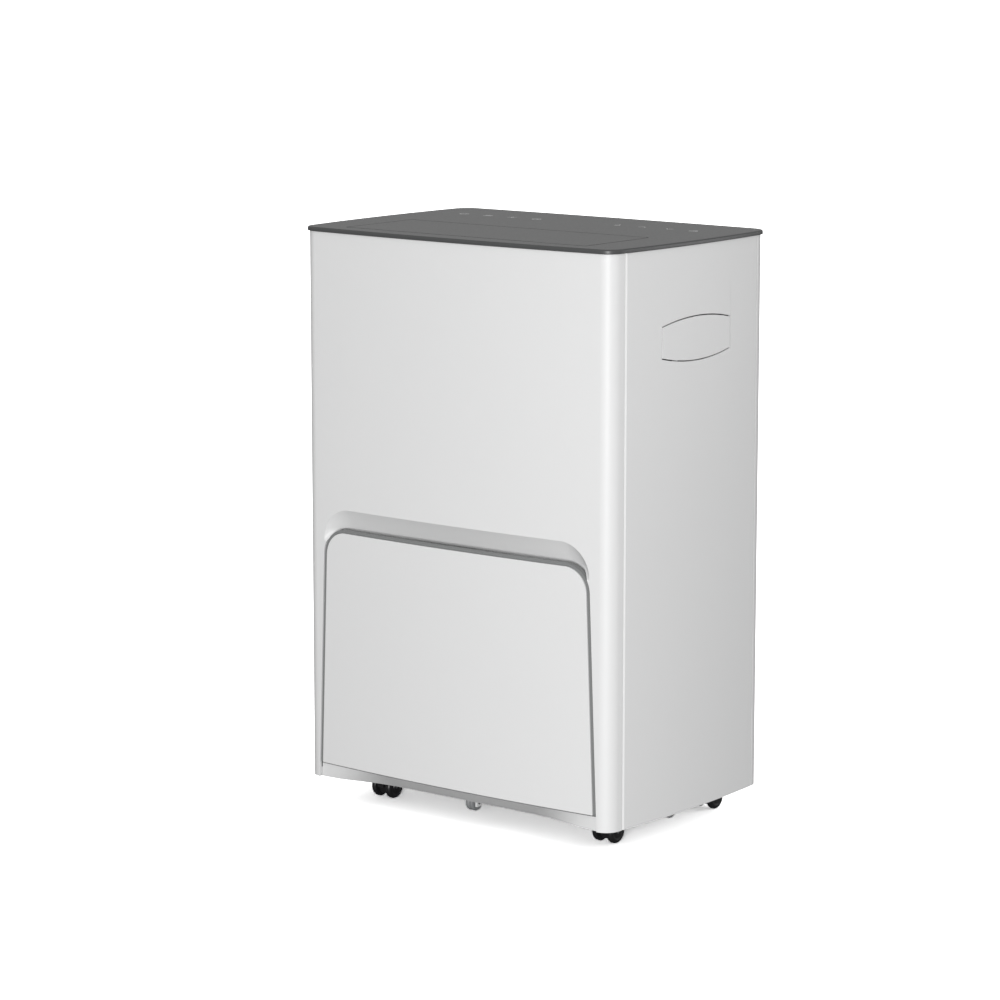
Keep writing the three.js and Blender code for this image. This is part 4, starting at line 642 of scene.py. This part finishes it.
def strokes(kind, x, y):
    """The outlines of one mark, each as a closed list of points."""
    r = key_size
    line = 0.0011

    def bar(x0, y0, x1, y1):
        run = Vector((x1 - x0, y1 - y0)).normalized()
        off = Vector((-run.y, run.x)) * line / 2
        a, b = Vector((x + x0, y + y0)), Vector((x + x1, y + y1))
        return [a - off, b - off, b + off, a + off]

    def bow(radius, start, end, steps=24):
        far = arc((x, y), radius + line / 2, start, end, steps)
        return far + arc((x, y), radius - line / 2, end, start, steps)

    if kind == "power":
        return [bow(r * 0.9, radians(125), radians(415)), bar(0, r * 0.35, 0, r)]
    if kind == "clock":
        return [bow(r * 0.9, radians(-180), radians(178)), bar(0, 0, 0, r * 0.6), bar(0, 0, r * 0.5, 0)]
    if kind == "fan":
        return [bow(r * 0.25, 0, radians(358))] + [
            bar(cos(a) * r * 0.3, sin(a) * r * 0.3, cos(a + 0.5) * r, sin(a + 0.5) * r)
            for a in (0, pi / 2, pi, 3 * pi / 2)
        ]
    if kind == "up":
        return [bar(-r * 0.8, -r * 0.5, 0, r * 0.5), bar(0, r * 0.5, r * 0.8, -r * 0.5)]
    if kind == "down":
        return [bar(-r * 0.8, r * 0.5, 0, -r * 0.5), bar(0, -r * 0.5, r * 0.8, r * 0.5)]
    if kind == "waves":
        return [bar(-r * 0.9, k * r * 0.55, r * 0.9, k * r * 0.55) for k in (-1, 0, 1)]
    if kind == "lock":
        return [
            bow(r * 0.5, 0, pi),
            bar(-r * 0.8, -r * 0.1, r * 0.8, -r * 0.1), bar(-r * 0.8, -r * 0.9, r * 0.8, -r * 0.9),
            bar(-r * 0.8, -r * 0.9, -r * 0.8, -r * 0.1), bar(r * 0.8, -r * 0.9, r * 0.8, -r * 0.1),
        ]
    return [
        bow(r * 0.55, radians(200), radians(340)),
        bar(-r * 0.52, -r * 0.2, 0, r), bar(0, r, r * 0.52, -r * 0.2),
    ]


for k, kind in enumerate(("power", "waves", "fan", "clock", "drop", "up", "down", "lock")):
    x = (first_left_key + key_pitch * k) if k < 4 else (first_right_key + key_pitch * (k - 4))
    marks = [raised("mark", outline, slab_top - 0.0001, high.z) for outline in strokes(kind, x, key_y)]
    key = picked(*marks)
    bpy.ops.object.join()
    key.name = f"touch_key_{kind}"
    settled(key, pale_print, "cabinet", "grey_plastic")

# ---- Tank face and bezel --------------------------------------------------------------------
# The white face of the tank follows the bow of the front. The lip of the grey bezel behind it
# shows as an even line round its sides and top. Both are moulded ABS, screwed to the bucket.


def front_skin(name, margin, outer_inset, inner_inset, bottom, top):
    def within(p):
        return min(-p.y - 0.09, 0.1835 + margin - abs(p.x))

    far, near = stretch(plan(outer_inset), within), stretch(plan(inner_inset), within)
    piece = raised(name, far + near[::-1], bottom - 0.01, top + 0.01)
    return carved(piece, raised("outline", tank_outline(margin), -0.2, -0.05, "y"), how="INTERSECT")


face = front_skin("tank_face_skin", 0.0, 0.0, 0.003, face_bottom, face_top)
rounded_off(face, 0.0007, 3)
settled(face, white_abs, "tank", "white_shell", "tank_face")

tank_grey = moulded("tank_grey", (0.22, 0.225, 0.225), 0.42, Specular_IOR_Level=0.35)
bezel = front_skin("tank_bezel_skin", bezel_rim, 0.0034, 0.0064, face_bottom, face_top)
around = tank_outline(0.0004, face_bottom - 0.001, face_top + 0.0004)
lip = front_skin("lip", bezel_rim, 0.0008, 0.0044, face_bottom, face_top)
joined(bezel, carved(lip, raised("around", around, -0.2, 0, "y")))
rounded_off(bezel, 0.0005, 3)
settled(bezel, tank_grey, "tank", "grey_plastic", "tank_bezel")

# ---- Base pan -------------------------------------------------------------------------------
# The white tray that closes the cabinet below and carries the castors, the rollers and the
# compressor. Its front edge is the toe recess under the tank, set back most in the middle.
settled(refined("base_pan", 0.0004), white_abs, "cabinet", "white_shell", "base_pan")

# ---- Side grips -----------------------------------------------------------------------------
# Barrel-shaped flaps that swing in on a rod along their lower edge, in front of a grey pocket
# for the fingers. A spring shuts them flush with the side.
for side, label in ((1, "right"), (-1, "left")):
    def within(p, side=side):
        return min(p.x * side, 0.07 - abs(p.y - grip_y))

    far, near = stretch(plan(0), within), stretch(plan(0.0025), within)
    flap = raised(f"grip_flap_{label}_skin", far + near[::-1], grip_z - 0.03, grip_z + 0.03)
    reach = (0.1, 0.3) if side > 0 else (-0.3, -0.1)
    carved(flap, raised("outline", grip_outline(-0.0002), *reach, "x"), how="INTERSECT")
    flap_low, flap_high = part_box(f"grip_flap_{label}")
    axis_x = (flap_low.x + 0.002) if side > 0 else (flap_high.x - 0.002)
    axis = (axis_x, flap_low.z + 0.002)
    outer_x = flap_high.x if side > 0 else flap_low.x
    inner = outer_x - side * 0.0016
    arm = [
        (axis[0] - side * 0.002, axis[1] - 0.002), (axis[0] + side * 0.002, axis[1] - 0.002),
        (inner, grip_z - grip_end), (inner, grip_z - grip_end + 0.004),
        (axis[0] - side * 0.002, axis[1] + 0.002),
    ]
    joined(
        flap,
        raised("arm", arm, grip_y - 0.0315, grip_y - 0.0285, "y"),
        raised("arm", arm, grip_y + 0.0285, grip_y + 0.0315, "y"),
        pin("rod", "y", 0.002, flap_low.y, flap_high.y, axis),
    )
    rounded_off(flap, 0.0004)
    settled(flap, white_abs, f"grip_{label}", "white_shell", f"grip_flap_{label}")
    pocket = refined(f"grip_pocket_{label}", 0.0006)
    settled(pocket, tank_grey, "cabinet", "grey_plastic", f"grip_pocket_{label}")

# ---- Castors --------------------------------------------------------------------------------
# Twin-wheel castors: a black nylon body with its stem, a steel axle, and two dished wheels
# whose treads are soft and well rounded towards the outside.
castors = ("castor_front_left", "castor_front_right", "castor_rear_left", "castor_rear_right")
wheel_radius, wheel_half = 0.0125, 0.0032
castor_black = moulded("castor_black", (0.012, 0.012, 0.013), 0.35, grain=900.0, depth=0.1)


def spun(name, profile, centre, steps=64):
    """A profile of (radius, along X) points spun about a line along X through a centre."""
    bpy.ops.object.select_all(action="DESELECT")
    bpy.ops.mesh.primitive_circle_add(vertices=len(profile), radius=0.1, fill_type="NOTHING")
    piece = bpy.context.object
    piece.name = name
    for vertex, (radius, along) in zip(piece.data.vertices, profile):
        vertex.co = (centre[0] + along, centre[1], centre[2] + radius)
    bpy.ops.object.mode_set(mode="EDIT")
    bpy.ops.mesh.select_all(action="SELECT")
    bpy.ops.mesh.spin(steps=steps, angle=2 * pi, center=centre, axis=(1, 0, 0))
    bpy.ops.mesh.select_all(action="SELECT")
    bpy.ops.mesh.remove_doubles(threshold=1e-6)
    bpy.ops.mesh.normals_make_consistent(inside=False)
    bpy.ops.object.mode_set(mode="OBJECT")
    return piece


def wheel_profile(half, sign):
    """One wheel across its thickness: bore, hub, dished web, and a rounded tread."""
    tread, bore = wheel_radius, 0.00215
    inner = [(bore, -half), (0.0042, -half), (0.0046, -half + 0.0008),
             (0.0088, -half + 0.0008), (0.0093, -half)]
    crown = [(tread - 0.0019 + 0.0019 * sin(a), -half + 0.0012 * (1 - cos(a)))
             for a in [pi / 2 * i / 6 for i in range(7)]]
    outer = [(tread - 0.0034 + 0.0034 * cos(a), half - 0.0034 + 0.0034 * sin(a))
             for a in [pi / 2 * i / 8 for i in range(9)]]
    face = [(0.0076, half - 0.0001), (0.0072, half - 0.0006), (0.0046, half - 0.0006),
            (0.0042, half), (bore, half)]
    return [(r, s * sign) for r, s in inner + crown + outer + face]


for name in castors:
    for label, sign in (("left", -1), ("right", 1)):
        low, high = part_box(f"{name}_wheel_{label}")
        middle = (low + high) / 2
        middle.z = wheel_radius
        wheel = spun(f"{name}_wheel_{label}_skin", wheel_profile(wheel_half, sign), middle)
        rounded_off(wheel, 0.0001, 1, 60)
        settled(wheel, castor_black, f"{name}_wheel_{label}", "castor_tread", f"{name}_wheel_{label}")
    settled(refined(f"{name}_body", 0.0005), castor_black, name, "black_plastic", f"{name}_body")

# ---- Grey rollers ---------------------------------------------------------------------------
# Small free rollers under the front and both sides. They stay clear of a level floor and meet
# the edge of a rug or a door sill. Grey acetal with a groove round the middle.
roller_grey = moulded("roller_grey", (0.24, 0.245, 0.25), 0.4)
for name in ("skid_roller_front", "skid_roller_left", "skid_roller_right"):
    low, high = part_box(name)
    middle = (low + high) / 2
    half_profile = [(0.0095, 0.0012), (0.0095, 0.0034), (0.0091, 0.0042), (0.0083, 0.0045), (0.0066, 0.0045),
                    (0.0062, 0.0038), (0.0038, 0.0038), (0.0034, 0.0045), (0.0022, 0.0045), (0.0022, 0.0073)]
    profile = [(r, -s) for r, s in half_profile[::-1]] + [(0.0082, 0.0)] + half_profile
    roller = spun(f"{name}_skin", profile, middle)
    bpy.ops.object.mode_set(mode="EDIT")
    bpy.ops.mesh.select_all(action="SELECT")
    bpy.ops.mesh.fill_holes(sides=0)
    bpy.ops.mesh.normals_make_consistent(inside=False)
    bpy.ops.object.mode_set(mode="OBJECT")
    rounded_off(roller, 0.0001, 1, 60)
    settled(roller, roller_grey, name, "grey_plastic", name)

# ---- Bucket, lid, handle and float ----------------------------------------------------------
# The bucket is smoke-grey translucent plastic, its lid and bail are moulded ABS, and the float
# is a foam block on a hinged arm.
smoke = moulded("smoke_clear", (0.5, 0.53, 0.55), 0.22, grain=700.0, depth=0.04, Alpha=0.62,
                Specular_IOR_Level=0.5)
settled(refined("tank_bucket", 0.0008, 3), smoke, "tank", "tank_smoke", "tank_bucket")
settled(refined("tank_lid", 0.0005), tank_grey, "tank", "grey_plastic", "tank_lid")
settled(refined("tank_handle", 0.0012, 3), charcoal, "tank_bail", "charcoal_top", "tank_handle")
foam = moulded("float_foam", (0.62, 0.6, 0.55), 0.85, grain=420.0, depth=0.5, drift=0.08)
settled(refined("tank_float", 0.0012, 3), foam, "float", "float_foam", "tank_float")
settled(refined("tank_bay", 0.0008), tank_grey, "cabinet", "grey_plastic", "tank_bay")

# ---- Drain plug and cord gland --------------------------------------------------------------
# The rubber plug of the hose outlet, and the nylon gland where the mains cord leaves.
soft_rubber = moulded("soft_rubber", (0.02, 0.02, 0.02), 0.7, grain=800.0, depth=0.25)
settled(refined("drain_plug", 0.0008, 3), soft_rubber, "plug", "soft_rubber", "drain_plug")
settled(refined("cord_gland", 0.0006, 3), black_nylon, "cabinet", "black_plastic", "cord_gland")

# ---- Blower, motors and drip tray -----------------------------------------------------------
# The black scroll under the outlet with its forward-curved wheel, the steel motor in front of
# it, and the grey tray that catches what drips off the coils. The louvre's motor, the capacitor
# and the castor axles have the same bright steel.
settled(refined("fan_scroll", 0.0008), black_nylon, "cabinet", "black_plastic", "fan_scroll")
settled(refined("blower_wheel", 0.0002, 1), black_nylon, "blower", "black_plastic", "blower_wheel")
settled(refined("drip_tray", 0.0006), tank_grey, "cabinet", "grey_plastic", "drip_tray")


def metal(name, colour, roughness, scale, stretch_by, metallic=1.0):
    """A bare or plated metal with fine drawn lines that follow the stretch of its noise."""
    made = bpy.data.materials.new(name)
    made.use_nodes = True
    tree = made.node_tree
    shader = tree.nodes["Principled BSDF"]
    here = node(tree, "ShaderNodeTexCoord").outputs["Object"]
    drawn = node(tree, "ShaderNodeMapping", {"Vector": here, "Scale": stretch_by})
    lines = node(tree, "ShaderNodeTexNoise", {"Vector": drawn.outputs[0], "Scale": scale, "Detail": 4.0})
    shade = node(tree, "ShaderNodeMapRange", {"Value": lines.outputs["Fac"], "To Min": roughness - 0.08,
                                              "To Max": roughness + 0.1})
    tint = node(tree, "ShaderNodeMix", data_type="RGBA")
    tint.inputs["A"].default_value = (*[c * 0.88 for c in colour], 1)
    tint.inputs["B"].default_value = (*colour, 1)
    tree.links.new(lines.outputs["Fac"], tint.inputs["Factor"])
    lift = node(tree, "ShaderNodeBump", {"Strength": 0.12, "Distance": 0.0002,
                                         "Height": lines.outputs["Fac"]})
    tree.links.new(tint.outputs["Result"], shader.inputs["Base Color"])
    tree.links.new(shade.outputs[0], shader.inputs["Roughness"])
    tree.links.new(lift.outputs["Normal"], shader.inputs["Normal"])
    shader.inputs["Metallic"].default_value = metallic
    return made


bright_steel = metal("bright_steel", (0.55, 0.56, 0.57), 0.32, 900.0, (1, 1, 0.05))
for name in ("fan_motor", "louvre_motor", "run_capacitor"):
    settled(refined(name, 0.001, 3), bright_steel, "cabinet", "bright_steel", name)
for name in castors:
    nodes[f"{name}_axle"].data.materials.clear()
    nodes[f"{name}_axle"].data.materials.append(bright_steel)

# ---- Coils ----------------------------------------------------------------------------------
# Each coil is a stack of thin aluminium fins on copper tubes, between two steel end plates.
fin_metal = metal("fin_stock", (0.78, 0.79, 0.81), 0.35, 1200.0, (1, 1, 1))
copper = metal("copper_tube", (0.72, 0.36, 0.22), 0.3, 500.0, (1, 1, 1))
fin_pitch, tube_rows = 0.0021, 6
for name in ("evaporator_coil", "condenser_coil"):
    low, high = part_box(name)
    y0, y1 = low.y, high.y
    half = -low.x
    fin = block(f"{name}_fins", -half + 0.003, -half + 0.0033, y0 + 0.0008, y1 - 0.0008,
                low.z + 0.001, high.z - 0.001)
    applied(fin, "ARRAY", count=int((2 * half - 0.006) / fin_pitch), use_relative_offset=False,
            use_constant_offset=True, constant_offset_displace=(fin_pitch, 0, 0))
    settled(fin, fin_metal, "cabinet", "fin_stock", name)
    for label, x in (("left", -half), ("right", half - 0.0012)):
        end = block(f"{name}_plate_{label}", x, x + 0.0012, y0, y1, low.z, high.z)
        rounded_off(end, 0.0003)
        settled(end, bright_steel, "cabinet", "bright_steel")
    pitch = (high.z - low.z) / tube_rows
    for row in range(tube_rows):
        z = low.z + pitch * (row + 0.5)
        y = (y0 + y1) / 2
        centre = (half, y, z)
        bpy.ops.object.select_all(action="DESELECT")
        bpy.ops.mesh.primitive_circle_add(vertices=16, radius=0.0034, location=(half - 0.002, y, z - 0.009),
                                          rotation=(0, pi / 2, 0))
        bend = bpy.context.object
        bend.name = f"{name}_bend_{row + 1}"
        bpy.ops.object.transform_apply(location=True, rotation=True, scale=True)
        bpy.ops.object.mode_set(mode="EDIT")
        bpy.ops.mesh.select_all(action="SELECT")
        bpy.ops.mesh.extrude_region_move(TRANSFORM_OT_translate={"value": (0.002, 0, 0)})
        bpy.ops.mesh.spin(steps=12, angle=-pi, center=centre, axis=(0, 1, 0))
        bpy.ops.mesh.extrude_region_move(TRANSFORM_OT_translate={"value": (-0.002, 0, 0)})
        bpy.ops.mesh.select_all(action="SELECT")
        bpy.ops.mesh.remove_doubles(threshold=1e-6)
        bpy.ops.mesh.fill_holes(sides=0)
        bpy.ops.mesh.normals_make_consistent(inside=False)
        bpy.ops.object.mode_set(mode="OBJECT")
        bpy.ops.object.shade_smooth_by_angle(angle=radians(50))
        settled(bend, copper, "cabinet", "copper_tube")

# ---- Compressor, pipes and electrics --------------------------------------------------------
# The black enamelled compressor on its rubber pad, the accumulator, the copper lines, the
# electronics box and the control board.
enamel = metal("black_enamel", (0.02, 0.02, 0.022), 0.3, 300.0, (1, 1, 1), metallic=0.0)
settled(refined("compressor", 0.004, 4), enamel, "cabinet", "black_enamel", "compressor")
settled(refined("suction_accumulator", 0.004, 4), enamel, "cabinet", "black_enamel", "suction_accumulator")
settled(refined("compressor_mount", 0.001, 3), soft_rubber, "cabinet", "soft_rubber", "compressor_mount")
for name in ("discharge_pipe", "suction_pipe", "capillary_tube"):
    settled(refined(name, 0.0001, 1, 70, 0.5), copper, "cabinet", "copper_tube", name)
settled(refined("electronics_box", 0.0012, 3), white_abs, "cabinet", "white_shell", "electronics_box")
board = moulded("solder_mask", (0.02, 0.11, 0.05), 0.35, grain=500.0, depth=0.2)
settled(refined("control_board", 0.0002), board, "cabinet", "board_green", "control_board")
